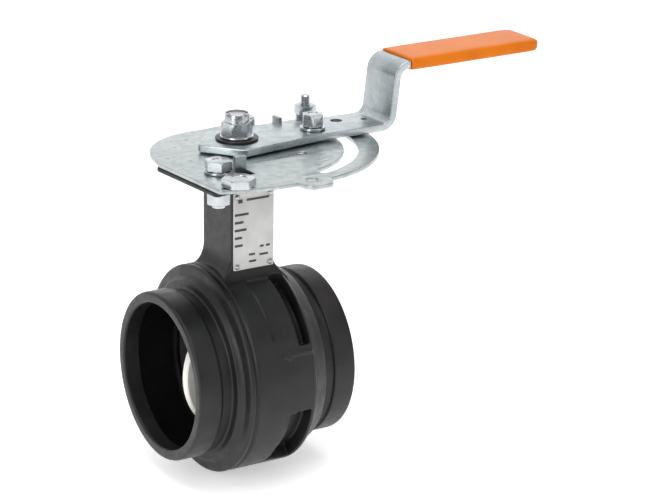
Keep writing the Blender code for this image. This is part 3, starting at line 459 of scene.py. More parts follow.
def casting_profile():
    """The turned outline of the casting, as (radius, x), right end first."""
    outside = [(MOUTH_EDGE, HALF_LENGTH)]
    edge = arc((PIPE_RADIUS - 1.8 * MM, HALF_LENGTH - 1.8 * MM), 1.8 * MM, 90.0, 0.0, 5)
    outside.extend((radius, x) for radius, x in edge)
    outside += [(PIPE_RADIUS, LIP), (GROOVE_RADIUS, LIP), (GROOVE_RADIUS, DRUM_END)]
    outside += [
        (DRUM - 9.6 * MM, DRUM_END), (DRUM - 8.2 * MM, 31.4 * MM), (DRUM - 4.6 * MM, 24.1 * MM),
        (DRUM - 0.9 * MM, 21.1 * MM), (DRUM, 19.4 * MM), (DRUM, -22.9 * MM),
        (DRUM - 1.9 * MM, -23.6 * MM), (DRUM - 1.9 * MM, -24.8 * MM), (DRUM, -25.5 * MM),
        (DRUM, -27.9 * MM), (DRUM - 1.2 * MM, -29.0 * MM), (DRUM - 7.2 * MM, -29.8 * MM),
        (DRUM - 9.3 * MM, -32.3 * MM), (DRUM - 9.9 * MM, -DRUM_END), (GROOVE_RADIUS, -DRUM_END),
        (GROOVE_RADIUS, -LIP), (PIPE_RADIUS, -LIP),
    ]
    outside.extend((radius, -x) for radius, x in reversed(edge))
    outside.append((MOUTH_EDGE, -HALF_LENGTH))
    inside = [
        (BORE_WALL, -58.7 * MM), (BORE_WALL, -48.5 * MM), (RELIEF, -46.5 * MM), (RELIEF, -20.4 * MM),
        (BORE_WALL, -18.4 * MM), (BORE_WALL, -16.4 * MM), (SEAT_POCKET, -16.4 * MM),
        (SEAT_POCKET, -8.8 * MM), (BORE_WALL, -8.8 * MM), (BORE_WALL, 13.2 * MM), (RELIEF, 16.2 * MM),
        (RELIEF, 46.5 * MM), (BORE_WALL, 48.5 * MM), (BORE_WALL, 58.7 * MM),
    ]
    return outside + inside


def neck_levels():
    """(height, spread aside, spread forward), with the foot and the head worked out as fillets."""
    levels = [(56.0 * MM, 12.6 * MM, 5.6 * MM)]
    for index in range(9):
        fall = index / 8
        height = (NECK_FOOT + NECK_FOOT_HEIGHT * fall) * MM
        spread = (1.0 - fall) ** 2
        levels.append((height, 9.8 * MM * spread, 4.6 * MM * max(0.0, 1.0 - fall * 2.1) ** 1.5))
    levels.append((NECK_HEAD, 0.0, 0.0))
    for index in range(1, 5):
        rise = index / 4
        flare = 3.7 * MM * rise ** 2
        levels.append((NECK_HEAD + NECK_HEAD_HEIGHT * rise, flare, flare))
    return levels


def make_neck():
    rings = []
    for height, aside, forward in neck_levels():
        half = NECK_HALF + aside
        outline = rounded([
            (-half, NECK_FRONT - forward, 2.5 * MM), (half, NECK_FRONT - forward, 2.5 * MM),
            (half, NECK_BACK + forward, 3.5 * MM), (-half, NECK_BACK + forward, 3.5 * MM),
        ])
        rings.append([(x, y, height) for x, y in outline])
    return loft("neck", rings)


FLANGE_RIM = [
    (-57.4, -73.5, 3.0), (-44.0, -70.5, 5.0), (-22.0, -66.0, 10.0), (36.0, -24.0, 10.0),
    (36.0, 46.0, 9.0), (4.0, 46.0, 12.0), (-62.0, -4.0, 3.0),
]
FLANGE_WEB = [
    (-48.0, -54.0, 7.0), (-27.0, -56.0, 7.0), (24.0, -22.0, 8.0), (33.0, 26.0, 8.0),
    (33.0, 43.5, 6.0), (14.0, 43.5, 6.0), (-24.0, 18.0, 8.0), (-48.0, -34.0, 7.0),
]
FRONT_BOLT = (-38.5 * MM, -43.5 * MM)
BACK_BOLT = (25.5 * MM, 38.5 * MM)


def scaled(corners):
    return [(x * MM, y * MM, radius * MM) for x, y, radius in corners]


def make_flange():
    rim = flat_piece("flange", [rounded(scaled(FLANGE_RIM))], FLANGE_TOP - FLANGE_RIM_THICKNESS,
                     FLANGE_RIM_THICKNESS, 0.5 * MM)
    web = flat_piece("web", [rounded(scaled(FLANGE_WEB))], FLANGE_TOP - FLANGE_DEPTH, 8.0 * MM, 1.0 * MM)
    return join(rim, web)


def pocket(start, end, floor, last_floor, left, right, mirrored):
    """An annular sector about the pipe axis, measured from straight up towards the front."""
    sign = -1.0 if mirrored else 1.0
    count = 24
    outline = arc((0.0, 0.0), DRUM + 5.0 * MM, 90.0 + sign * start, 90.0 + sign * end, count)
    for index in range(count + 1):
        share = index / count
        angle = math.radians(90.0 + sign * (end + (start - end) * share))
        radius = last_floor + (floor - last_floor) * share
        outline.append((radius * math.cos(angle), radius * math.sin(angle)))
    stand = Matrix(((0, 0, 1, 0), (1, 0, 0, 0), (0, 1, 0, 0), (0, 0, 0, 1)))
    return flat_piece("pocket", [outline], left, right - left, 0.9 * MM, matrix=stand)


# Each is (start, end, floor radius at the start and at the end, left side, right side).
POCKETS = (
    (19.5, 65.0, 61.0, 61.0, 10.5, 19.4), (21.0, 60.0, 69.2, 70.3, -8.0, 10.9),
    (102.0, 146.0, 61.0, 61.0, 6.0, 17.8), (103.0, 144.0, 65.5, 65.5, -2.0, 6.4),
)


def flow_arrow():
    """A small raised arrow on the drum, below the front pocket, lying on its round surface."""
    outline = scaled([
        (-3.0, 0.4, 0.0), (3.2, 4.2, 0.6), (2.2, 1.1, 0.0), (19.5, 1.1, 0.5),
        (19.5, -1.1, 0.5), (2.2, -1.1, 0.0), (3.2, -4.2, 0.6), (-3.0, -0.4, 0.0),
    ])
    lie = Matrix.Rotation(math.radians(69.0), 4, "X")
    return flat_piece("arrow", [rounded(outline, 2)], DRUM - 1.5 * MM, 2.2 * MM, 0.2 * MM, matrix=lie)


def make_casting():
    """One cast piece: turned drum, lofted neck and flange joined, cut, then blended as cast iron is."""
    casting = lathe("body_casting_look", casting_profile(), 160, "X", closed=True)
    join(casting, make_neck(), make_flange(), flow_arrow())
    for start, end, *sizes in POCKETS:
        for mirrored in (False, True):
            cut(casting, pocket(start, end, *[size * MM for size in sizes], mirrored))
    upper = lathe("passage", [
        (0.0, 150.0 * MM), (SEAL_BORE, 150.0 * MM), (SEAL_BORE, 138.4 * MM), (SEAL_GROOVE, 138.4 * MM),
        (SEAL_GROOVE, 136.2 * MM), (SEAL_BORE, 136.2 * MM), (SEAL_BORE, 112.1 * MM),
        (BEARING_BORE, 112.1 * MM), (BEARING_BORE, 57.6 * MM), (STEM_BORE, 57.6 * MM),
        (STEM_BORE, 40.0 * MM), (0.0, 40.0 * MM)], 64)
    lower = lathe("plug_seat", [
        (0.0, -40.0 * MM), (STEM_BORE, -40.0 * MM), (STEM_BORE, -57.6 * MM), (BEARING_BORE, -57.6 * MM),
        (BEARING_BORE, -64.9 * MM), (PLUG_BORE, -64.9 * MM), (PLUG_BORE, -75.0 * MM),
        (0.0, -75.0 * MM)], 64)
    holes = []
    for x, y in (FRONT_BOLT, BACK_BOLT):
        holes.append(lathe("bolt_hole", [
            (0.0, 152.0 * MM), (FLANGE_HOLE, 152.0 * MM), (FLANGE_HOLE, 130.0 * MM), (0.0, 130.0 * MM)],
            32, place=(x, y, 0.0)))
    cut(casting, upper, lower, *holes)
    blend = casting.modifiers.new("cast_skin", "REMESH")
    blend.mode = "VOXEL"
    blend.voxel_size = 0.7 * MM
    round_off = casting.modifiers.new("round_off", "SMOOTH")
    round_off.factor = 0.5
    round_off.iterations = 4
    lighter = casting.modifiers.new("lighter", "DECIMATE")
    lighter.ratio = 0.3
    settle(casting)
    casting.data.shade_smooth()
    return dress(casting, COAT, "black_coat", FIXED, "body_casting")


# ---------------------------------------------------------------- hardware

PLATE_TOP = 149.7 * MM
GAP = 0.3 * MM
CORNER_SCREW = (-42.5 * MM, -75.8 * MM)
STOP_ANGLE = 22.0
SLOT_RADIUS = 75.2 * MM
M10_FLATS = 16.0 * MM
M10_NUT_FLATS = 14.4 * MM
M10_SHANK = 5.0 * MM
M10_HOLE = 5.3 * MM
M10_WASHER = 9.2 * MM
M10_PITCH = 1.5 * MM
M8_FLATS = 13.0 * MM
M8_SHANK = 4.0 * MM
M8_HOLE = 4.3 * MM
M8_WASHER = 8.6 * MM
M8_PITCH = 1.25 * MM
CORNER_FLATS = 19.0 * MM
STOP_FLATS = 13.0 * MM
STOP_HOLE = 3.4 * MM


def thread(name, radius, low, high, pitch, place):
    """A threaded shank with a chamfered end: one ridge for each pitch, from its end downwards."""
    depth = 0.55 * pitch
    profile = [(0.0, high)]
    profile += [(radius - depth - 0.3 * MM, high), (radius - depth, high - 0.3 * MM)]
    height = high - 0.3 * MM
    while height - pitch > low:
        profile.append((radius, height - 0.4 * pitch))
        profile.append((radius, height - 0.55 * pitch))
        profile.append((radius - depth, height - pitch))
        height -= pitch
    profile += [(radius - depth, low), (0.0, low)]
    return lathe(name, profile, 40, place=(place[0], place[1], 0.0))


def chamfer_body(name, place, bottom, top, corner, lower, upper):
    """The turned shape that takes the corners off a hexagon, continued past both of its faces."""
    drop = 0.062 * corner
    beyond = 0.6 * MM
    narrow = 0.9 * corner - beyond * 0.1 * corner / drop
    profile = [(0.0, top + beyond), (narrow if upper else 1.1 * corner, top + beyond)]
    if upper:
        profile.append((corner, top - drop))
    if lower:
        profile.append((corner, bottom + drop))
    profile += [(narrow if lower else 1.1 * corner, bottom - beyond), (0.0, bottom - beyond)]
    return lathe(name, profile, 96, place=(place[0], place[1], 0.0))


def hex_block(name, place, bottom, height, flats, turn, lower=False, upper=True):
    """A hexagonal prism with its corners taken off by a cone."""
    prism = flat_piece(name, [hexagon(place, flats, turn)], bottom, height, 0.15 * MM)
    corner = flats / 2 / math.cos(math.pi / 6)
    cone = chamfer_body("cone", place, bottom, bottom + height, corner, lower, upper)
    return combine(prism, [cone], "INTERSECT")


def hex_bolt(name, place, head_bottom, head, flats, turn, shank, end, pitch, body, node):
    """A bolt with a chamfered hexagon head, a washer face and a threaded shank."""
    top = head_bottom + head
    block = hex_block(name, place, head_bottom + 0.35 * MM, head - 0.35 * MM, flats, turn)
    face = lathe("washer_face", [
        (0.0, head_bottom + 1.0 * MM), (0.47 * flats, head_bottom + 1.0 * MM),
        (0.47 * flats, head_bottom + SHAVE), (0.0, head_bottom + SHAVE)],
        48, place=(place[0], place[1], 0.0))
    dish = lathe("dish", [
        (0.0, top + 1.0 * MM), (0.3 * flats, top + 1.0 * MM), (0.27 * flats, top - 0.35 * MM),
        (0.0, top - 0.35 * MM)], 48, place=(place[0], place[1], 0.0))
    join(block, face)
    cut(block, dish)
    stem = thread("shank", shank, end, head_bottom + 0.6 * MM, pitch, place)
    join(block, stem)
    shade(block)
    return dress(block, BRIGHT, "zinc_plate", body, node)


def hex_nut(name, place, bottom, height, flats, turn, hole, body, node):
    """A nut with both faces chamfered and a countersunk bore."""
    block = hex_block(name, place, bottom, height, flats, turn, lower=True)
    rim = 0.5 * MM
    bore = lathe("bore", [
        (0.0, bottom + height + 1.0 * MM), (hole + rim + 1.0 * MM, bottom + height + 1.0 * MM),
        (hole, bottom + height - rim), (hole, bottom + rim), (hole + rim + 1.0 * MM, bottom - 1.0 * MM),
        (0.0, bottom - 1.0 * MM)], 40, place=(place[0], place[1], 0.0))
    cut(block, bore)
    shade(block)
    return dress(block, BRIGHT, "zinc_plate", body, node)


def washer(name, place, radius, hole, body, node, finish=BRIGHT, slot="zinc_plate"):
    """A flat washer with rounded edges, as thick as the CAD node that it stands for."""
    low, high = node_span(node)
    made = flat_piece(name, [circle(place, radius, 64), circle(place, hole)], low, high - low, 0.25 * MM)
    return dress(made, finish, slot, body, node)


def node_span(name):
    """The lowest and the highest point of a CAD node along the stem."""
    low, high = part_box(name)
    return low.z, high.z


def make_plate_fasteners():
    for label, place, turn in (("front", FRONT_BOLT, 12.0), ("back", BACK_BOLT, 25.0)):
        washer(f"{label}_washer_look", place, M10_WASHER, M10_HOLE, FIXED, f"{label}_bolt_washer")
        seat = node_span(f"{label}_bolt_washer")[1] + GAP
        end, top = node_span(f"{label}_plate_bolt")
        hex_bolt(f"{label}_bolt_look", place, seat, top - seat, M10_FLATS, turn, M10_SHANK, end,
                 M10_PITCH, FIXED, f"{label}_plate_bolt")
        low, high = node_span(f"{label}_bolt_nut")
        hex_nut(f"{label}_nut_look", place, low, high - low, M10_NUT_FLATS, -2.0, M10_HOLE, FIXED,
                f"{label}_bolt_nut")
    end, top = node_span("corner_screw")
    seat = PLATE_TOP + GAP
    hex_bolt("corner_screw_look", CORNER_SCREW, seat, top - seat, CORNER_FLATS, 36.0, M8_SHANK, end,
             M8_PITCH, FIXED, "corner_screw")


def make_memory_stop():
    """The adjustable stop: a round head under the plate, a threaded stud, a washer and two nuts."""
    place = arc((0.0, 0.0), SLOT_RADIUS, STOP_ANGLE, STOP_ANGLE, 1)[0]
    head_top = 146.7 * MM
    stud_top = node_span("stop_bolt")[1]
    stud = thread("stop_bolt_look", 3.2 * MM, head_top - 1.0 * MM, stud_top, 1.0 * MM, place)
    head = lathe("round_head", [
        (0.0, head_top), (8.4 * MM, head_top), (8.6 * MM, head_top - 0.6 * MM),
        (7.4 * MM, head_top - 2.2 * MM), (4.5 * MM, head_top - 3.3 * MM), (0.0, head_top - 3.6 * MM)],
        64, place=(place[0], place[1], 0.0))
    join(stud, head)
    shade(stud)
    dress(stud, BRIGHT, "zinc_plate", FIXED, "stop_bolt")
    washer("stop_washer_look", place, 7.2 * MM, 3.5 * MM, FIXED, "stop_washer")
    for label, turn in (("lower", 8.0), ("upper", 27.0)):
        low, high = node_span(f"stop_{label}_nut")
        hex_nut(f"stop_{label}_look", place, low, high - low, STOP_FLATS, turn, STOP_HOLE, FIXED,
                f"stop_{label}_nut")


# ---------------------------------------------------------------- throttle plate

PLATE_THICKNESS = 2.7 * MM
PLATE_BOTTOM = PLATE_TOP - PLATE_THICKNESS
PLATE_RADIUS = 96.0 * MM
RIM_DRAWN_IN = 6.6 * MM
SLOT_HALF_WIDTH = 4.8 * MM
SLOT_START = -72.5
SLOT_END = 24.0
PLATE_PADLOCK = (6.0 * MM, -84.7 * MM)
LEVER_PADLOCK = (80.7 * MM, 6.0 * MM)
PADLOCK_HOLE = 4.0 * MM
DRAIN = (31.5 * MM, -30.5 * MM)
TICK_END = 66.5 * MM
TICK_HALF = 0.3 * MM


def plate_outline():
    """The rim: a round left end, a straight left side, the padlock lug, the arc and the back."""
    left_end = arc((-6.0 * MM, -4.0 * MM), 53.8 * MM, 84.0, 170.0, 32)
    left_side = rounded(scaled([
        (-61.6, -7.0, 0.0), (-57.0, -77.6, 3.5), (-45.0, -81.9, 8.0), (-22.0, -86.0, 0.0)]))
    lug = rounded(scaled([(-6.5, -86.8, 0.0), (-2.4, -98.6, 5.0), (14.0, -98.2, 4.0), (18.6, -87.8, 0.0)]))
    outer = []
    for index in range(49):
        share = index / 48
        radius = PLATE_RADIUS - RIM_DRAWN_IN * (1.0 - share) ** 1.6
        outer.append(arc((0.0, 0.0), radius, -76.0 + 90.0 * share, 0.0, 1)[0])
    back = rounded(scaled([
        (90.5, 27.0, 0.0), (82.0, 41.0, 9.0), (40.0, 41.0, 16.0), (19.0, 52.0, 12.0), (6.0, 50.5, 0.0)]), 10)
    return left_end + left_side + lug + outer + back[1:-1]


def slot_outline():
    """The curved slot about the stem, with round ends."""
    outer = arc((0.0, 0.0), SLOT_RADIUS + SLOT_HALF_WIDTH, SLOT_START, SLOT_END, 48)
    inner = arc((0.0, 0.0), SLOT_RADIUS - SLOT_HALF_WIDTH, SLOT_END, SLOT_START, 48)
    last = arc((0.0, 0.0), SLOT_RADIUS, SLOT_END, SLOT_END, 1)[0]
    first = arc((0.0, 0.0), SLOT_RADIUS, SLOT_START, SLOT_START, 1)[0]
    last_end = arc(last, SLOT_HALF_WIDTH, SLOT_END, SLOT_END + 180.0, 12)
    first_end = arc(first, SLOT_HALF_WIDTH, SLOT_START + 180.0, SLOT_START + 360.0, 12)
    return outer + last_end[1:-1] + inner + first_end[1:-1]


def swapped(outline):
    """The closed side of the plate mirrors its open side across the line between them."""
    return [(-y, -x) for x, y in outline]


def make_plate():
    """The plate with its holes, two bent-up stop tabs, four dimples and a row of ticks."""
    window = [(45.8, 19.2), (56.8, 19.2), (56.8, 28.4), (45.8, 28.4)]
    window = [(x * MM, y * MM) for x, y in window]
    tab = [(43.6, 19.7), (46.3, 19.7), (46.3, 27.9), (43.6, 27.9)]
    tab = [(x * MM, y * MM) for x, y in tab]
    outlines = [
        plate_outline(), slot_outline(), circle((0.0, 0.0), 7.6 * MM), circle(PLATE_PADLOCK, PADLOCK_HOLE),
        circle(FRONT_BOLT, M10_HOLE), circle(BACK_BOLT, M10_HOLE), circle(CORNER_SCREW, M8_HOLE),
        circle(DRAIN, 3.2 * MM), window, swapped(window),
    ]
    plate = flat_piece("throttle_plate_look", outlines, PLATE_BOTTOM, PLATE_THICKNESS, 0.35 * MM)
    for outline in (tab, swapped(tab)):
        join(plate, flat_piece("tab", [outline], PLATE_BOTTOM + 0.3 * MM, 11.9 * MM, 0.4 * MM))
    for degrees, radius in ((150.0, 41.0), (122.0, 38.0), (180.0, 52.0), (196.0, 43.0)):
        angle = math.radians(degrees)
        place = (radius * MM * math.cos(angle), radius * MM * math.sin(angle), 0.0)
        cut(plate, lathe("punch_mark", [
            (0.0, PLATE_TOP + 1.0 * MM), (2.3 * MM, PLATE_TOP + 1.0 * MM), (1.2 * MM, PLATE_TOP - 0.5 * MM),
            (0.0, PLATE_TOP - 0.7 * MM)], 24, place=place))
    for index in range(10):
        angle = math.radians(-66.0 + 9.2 * index)
        turn = Matrix.Rotation(angle, 4, "Z")
        long = 5.0 if index % 3 == 0 else 3.2
        start = TICK_END - long * MM
        mark = [(start, -TICK_HALF), (TICK_END, -TICK_HALF), (TICK_END, TICK_HALF), (start, TICK_HALF)]
        cut(plate, flat_piece("tick", [mark], PLATE_TOP - 0.25 * MM, 1.0 * MM, 0.05 * MM, matrix=turn))
    shade(plate)
    return dress(plate, ZINC, "zinc_plate", FIXED, "throttle_plate")


# ---------------------------------------------------------------- lever, grip and hub

LEVER_BOTTOM = 150.8 * MM
LEVER_THICKNESS = 5.0 * MM
LEVER_END = 229.6 * MM
CRANK_X = 110.6 * MM
CRANK_LEAN = math.radians(6.8)
CRANK_RADIUS = 9.0 * MM
ARM_HEIGHT = 194.4 * MM
ARM_START = 125.0 * MM
ARM_RISE = math.radians(0.55)
LOCK_SCREW = (56.0 * MM, -4.0 * MM)
STEM_RADIUS = 7.0 * MM
FLATS_RADIUS = 7.3 * MM
FLATS_HALF = 5.2 * MM
GRIP_END = 232.5 * MM
GRIP_HALF_WIDTH = 19.5 * MM
GRIP_HALF = 4.42 * MM


def arm_height(x):
    return ARM_HEIGHT + (x - ARM_START) * math.tan(ARM_RISE)


def half_width(x):
    """Half the lever's width along it: a spade end round the stem, then a straight bar."""
    stations = (
        (-28.2, 1.2), (-9.9, 24.3), (-8.3, 25.5), (-6.2, 25.8), (49.9, 17.9), (54.1, 17.6), (400.0, 17.6))
    for (x0, w0), (x1, w1) in zip(stations, stations[1:]):
        if x <= x1 * MM:
            return (w0 + (w1 - w0) * (x / MM - x0) / (x1 - x0)) * MM
    return stations[-1][1] * MM


def lever_line():
    """Middle line of the bar as (x, z), with its two bends as arcs."""
    low = LEVER_BOTTOM + LEVER_THICKNESS / 2
    line = [(x * MM, low) for x in (
        -28.2, -9.9, -8.3, -6.2, 6.0, 20.0, 35.0, 49.9, 54.1, 65.0, 80.0, 92.0)]
    head_x = CRANK_X + (ARM_HEIGHT - low) * math.tan(CRANK_LEAN)
    turn = math.degrees(math.pi / 2 - CRANK_LEAN)
    tangent = CRANK_RADIUS * math.tan(math.radians(turn) / 2)
    line += arc((CRANK_X - tangent, low + CRANK_RADIUS), CRANK_RADIUS, -90.0, -90.0 + turn, 16)
    line += arc((head_x + tangent, ARM_HEIGHT - CRANK_RADIUS), CRANK_RADIUS, 90.0 + turn,
                90.0 + math.degrees(ARM_RISE), 16)
    line += [(x * MM, arm_height(x * MM)) for x in (150.0, 185.0, 215.0)]
    line.append((LEVER_END, arm_height(LEVER_END)))
    return line


def bar_ring(line, index, width, half):
    """The four corners of the bar at one station, square to its middle line."""
    before = Vector(line[max(index - 1, 0)])
    after = Vector(line[min(index + 1, len(line) - 1)])
    along = (after - before).normalized()
    x, z = line[index]
    up = Vector((-along.y, along.x)) * half
    return [
        (x - up.x, -width, z - up.y), (x - up.x, width, z - up.y),
        (x + up.x, width, z + up.y), (x + up.x, -width, z + up.y),
    ]


def make_lever():
    line = lever_line()
    half = LEVER_THICKNESS / 2
    rings = [bar_ring(line, index, half_width(line[index][0]), half) for index in range(len(line))]
    lever = loft("lever_look", rings)
    soften(lever, 0.75 * MM, 4, 40.0)
    limit = math.degrees(math.asin(FLATS_HALF / FLATS_RADIUS))
    flats = arc((0.0, 0.0), FLATS_RADIUS, -limit, limit, 12)
    flats += arc((0.0, 0.0), FLATS_RADIUS, 180.0 - limit, 180.0 + limit, 12)
    outlines = [
        flats, circle(LEVER_PADLOCK, PADLOCK_HOLE), circle((99.0 * MM, 0.0), 2.2 * MM),
        circle(LOCK_SCREW, M8_HOLE),
    ]
    for outline in outlines:
        cut(lever, flat_piece("hole", [outline], LEVER_BOTTOM - 2.0 * MM, 9.0 * MM, 0.01 * MM))
    shade(lever)
    return dress(lever, BRUSHED, "zinc_plate", TURNING, "lever")


def make_grip():
    """The dipped sleeve: fuller in the middle, with a rolled lip where it starts and a round end."""
    count = 64
    around = 40
    rings = []
    for index in range(count + 1):
        share = index / count
        x = ARM_START + (GRIP_END - ARM_START) * (1.0 - math.cos(math.pi * share)) / 2
        from_end = (GRIP_END - x) / (9.0 * MM)
        from_start = (x - ARM_START) / (1.4 * MM)
        plan = math.sqrt(max(0.0, 1.0 - (1.0 - min(1.0, from_end)) ** 2))
        lip = math.sqrt(max(0.0, 1.0 - (1.0 - min(1.0, from_start)) ** 2))
        inset = 8.5 * MM * (1.0 - plan) + 0.9 * MM * (1.0 - lip)
        closing = math.sqrt(max(0.0, min(1.0, (GRIP_END - x) / (4.2 * MM))))
        tall = GRIP_HALF * (0.35 + 0.65 * closing) * (0.8 + 0.2 * lip)
        swell = 1.0 - 0.035 * math.cos(2 * math.pi * share)
        ring = []
        for step in range(around):
            angle = 2 * math.pi * (step + 0.5) / around
            c, s = math.cos(angle), math.sin(angle)
            y = (GRIP_HALF_WIDTH - inset) * math.copysign(abs(c) ** 0.24, c)
            z = tall * min(1.0, swell) * math.copysign(abs(s) ** 0.5, s)
            ring.append((x - math.sin(ARM_RISE) * z, y, arm_height(x) + z * math.cos(ARM_RISE)))
        rings.append(ring)
    grip = loft("grip_look", rings)
    inner_line = [(x, arm_height(x)) for x in (ARM_START - 8.0 * MM, LEVER_END + GAP)]
    inner_half = LEVER_THICKNESS / 2 + 0.15 * MM
    inner = [bar_ring(inner_line, index, 17.6 * MM + GAP, inner_half) for index in range(2)]
    cut(grip, loft("inner", inner))
    shade(grip, 50.0)
    return dress(grip, VINYL, "orange_vinyl", TURNING, "grip")


def make_hub():
    """Washer, flanged lock nut with its crimped collar, and the threaded end of the stem."""
    hole = 6.2 * MM
    washer("hub_washer_look", (0.0, 0.0), 14.3 * MM, hole, TURNING, "hub_washer", DARK_STEEL, "black_coat")
    low, top = node_span("hub_nut")
    hex_top = low + 10.6 * MM
    nut = lathe("hub_nut_look", [
        (7.5 * MM, top), (8.0 * MM, top - 0.3 * MM), (8.25 * MM, top - 1.1 * MM), (8.4 * MM, low + 1.9 * MM),
        (11.0 * MM, low + 1.3 * MM), (11.3 * MM, low + 0.6 * MM), (11.1 * MM, low), (hole, low),
        (hole, hex_top), (7.5 * MM, hex_top), (7.5 * MM, top - 0.9 * MM), (7.1 * MM, top - 0.1 * MM)],
        96, closed=True)
    block = hex_block("hexagon", (0.0, 0.0), low + 1.0 * MM, hex_top - low - 1.0 * MM, 18.0 * MM, 40.7)
    cut(block, lathe("bore", [
        (0.0, 190.0 * MM), (8.1 * MM, 190.0 * MM), (8.1 * MM, 140.0 * MM), (0.0, 140.0 * MM)], 64))
    join(nut, block)
    shade(nut)
    dress(nut, BRIGHT, "zinc_plate", TURNING, "hub_nut")
    low, high = node_span("upper_stem")
    shaft_top = LEVER_BOTTOM + LEVER_THICKNESS - 0.2 * MM
    stem = lathe("upper_stem_look", [
        (0.0, shaft_top), (STEM_RADIUS - 0.3 * MM, shaft_top), (STEM_RADIUS, shaft_top - 0.3 * MM),
        (STEM_RADIUS, low + 0.6 * MM), (STEM_RADIUS - 0.6 * MM, low), (0.0, low)], 64)
    flats = []
    for side in (-1.0, 1.0):
        y = side * 4.9 * MM
        corners = [(-12.0 * MM, y), (12.0 * MM, y), (12.0 * MM, y * 2.2), (-12.0 * MM, y * 2.2)]
        flats.append(flat_piece("flat", [corners], 150.5 * MM, 8.0 * MM, 0.01 * MM))
    pin_hole = lathe("pin_hole", [
        (0.0, 13.0 * MM), (3.3 * MM, 13.0 * MM), (3.3 * MM, -16.0 * MM), (0.0, -16.0 * MM)], 32, "Y",
        (0.0, 0.0, 34.0 * MM))
    cut(stem, *flats, pin_hole)
    join(stem, thread("stem_thread", 5.9 * MM, shaft_top - 1.0 * MM, high, 1.5 * MM, (0.0, 0.0)))
    shade(stem)
    dress(stem, STAINLESS, "stainless_steel", TURNING, "upper_stem")


def make_lock_screw():
    washer("lock_washer_look", LOCK_SCREW, M8_WASHER, M8_HOLE, TURNING, "lock_screw_washer")
    seat = node_span("lock_screw_washer")[1] + GAP
    end, top = node_span("lock_screw")
    hex_bolt("lock_screw_look", LOCK_SCREW, seat, top - seat, M8_FLATS, 2.5, M8_SHANK, end, M8_PITCH,
             TURNING, "lock_screw")


# ---------------------------------------------------------------- nameplate

def make_nameplate():
    """A blank plate with ruled marks in place of lettering, and its four pins."""
    back = NECK_FRONT - GAP
    front = back - 0.8 * MM
    stand = Matrix.Rotation(math.pi / 2, 4, "X")
    low, high = 73.0 * MM, 126.0 * MM
    half = 15.2 * MM
    inset = 2.6 * MM
    places = {
        "lower_left": (-half + inset, low + inset), "lower_right": (half - inset, low + inset),
        "upper_left": (-half + inset, high - inset), "upper_right": (half - inset, high - inset),
    }
    rim = 0.8 * MM
    outline = rounded([(-half, low, rim), (half, low, rim), (half, high, rim), (-half, high, rim)])
    holes = [circle(place, 1.2 * MM, 24) for place in places.values()]
    plate = flat_piece("nameplate_look", [outline] + holes, -back, 0.72 * MM, 0.15 * MM, matrix=stand)
    dress(plate, PRINTED, "printed_metal", FIXED, "nameplate")
    marks = [(-10.2, 120.4, 3.4, 2.6), (3.0, 120.8, 17.0, 1.6)]
    for index, wide in enumerate((10.5, 6.6, 8.8, 5.5, 6.0)):
        height = 111.2 - 5.3 * index
        marks.append((-14.4 + wide / 2, height, wide, 1.7))
    marks += [(6.2, 87.4, 3.0, 1.5), (10.8, 87.4, 3.0, 1.5), (-1.3, 82.7, 4.6, 1.5), (7.6, 81.7, 6.6, 1.5)]
    marks.append((-0.8, 78.0, 5.6, 1.5))
    for index, (x, z, wide, tall) in enumerate(marks):
        left, right, foot, head = x - wide / 2, x + wide / 2, z - tall / 2, z + tall / 2
        corners = scaled([(left, foot, 0.2), (right, foot, 0.2), (right, head, 0.2), (left, head, 0.2)])
        mark = flat_piece(f"nameplate_mark_{index}", [rounded(corners, 3)], -back + 0.70 * MM, 0.08 * MM,
                          0.02 * MM, matrix=stand)
        dress(mark, INK, "printed_metal", FIXED)
    for label, (x, z) in places.items():
        head = -front + GAP
        pin = lathe(f"pin_{label}_look", [
            (0.0, head + 0.85 * MM), (0.8 * MM, head + 0.75 * MM), (1.45 * MM, head + 0.45 * MM),
            (1.85 * MM, head + 0.02 * MM), (0.95 * MM, head + 0.02 * MM), (0.95 * MM, -back + 0.05 * MM),
            (0.0, -back + 0.05 * MM)], 32, "-Y", (x, 0.0, z))
        dress(pin, STAINLESS, "stainless_steel", FIXED, f"nameplate_pin_{label}")


# ---------------------------------------------------------------- stage

VIEW_AZIMUTH = math.radians(-32.251)
VIEW_ELEVATION = math.radians(18.467)
VIEW_ROLL = math.radians(0.84)
VIEW_DISTANCE = 1.7511
VIEW_ASIDE = 0.06332
VIEW_UP = 0.0764
FOCAL_LENGTH = 141.4


def make_floor():
    """A plain pale floor that rises behind the valve."""
    low = -70.85 * MM
    bend = 0.5
    floor_line = [(-1.6, low), (1.2, low)]
    for index in range(1, 13):
        angle = math.radians(7.5 * index)
        floor_line.append((1.2 + bend * math.sin(angle), low + bend - bend * math.cos(angle)))
    floor_line.append((1.7, 2.6))
    work = bmesh.new()
    rows = [[work.verts.new((side, y, z)) for side in (-4.0, 4.0)] for y, z in floor_line]
    for first, second in zip(rows, rows[1:]):
        work.faces.new((first[0], first[1], second[1], second[0]))
    mesh = bpy.data.meshes.new("floor")
    work.to_mesh(mesh)
    work.free()
    floor = new_object("floor", mesh)
    floor.data.shade_smooth()
    floor.matrix_world = Matrix.Rotation(VIEW_AZIMUTH, 4, "Z")
    finish = bpy.data.materials.new("floor")
    finish.use_nodes = True
    shader = finish.node_tree.nodes["Principled BSDF"]
    shader.inputs["Base Color"].default_value = (0.94, 0.94, 0.94, 1.0)
    shader.inputs["Roughness"].default_value = 0.85
    shader.inputs["Emission Color"].default_value = (1.0, 1.0, 1.0, 1.0)
    shader.inputs["Emission Strength"].default_value = 0.46
    floor.data.materials.append(finish)


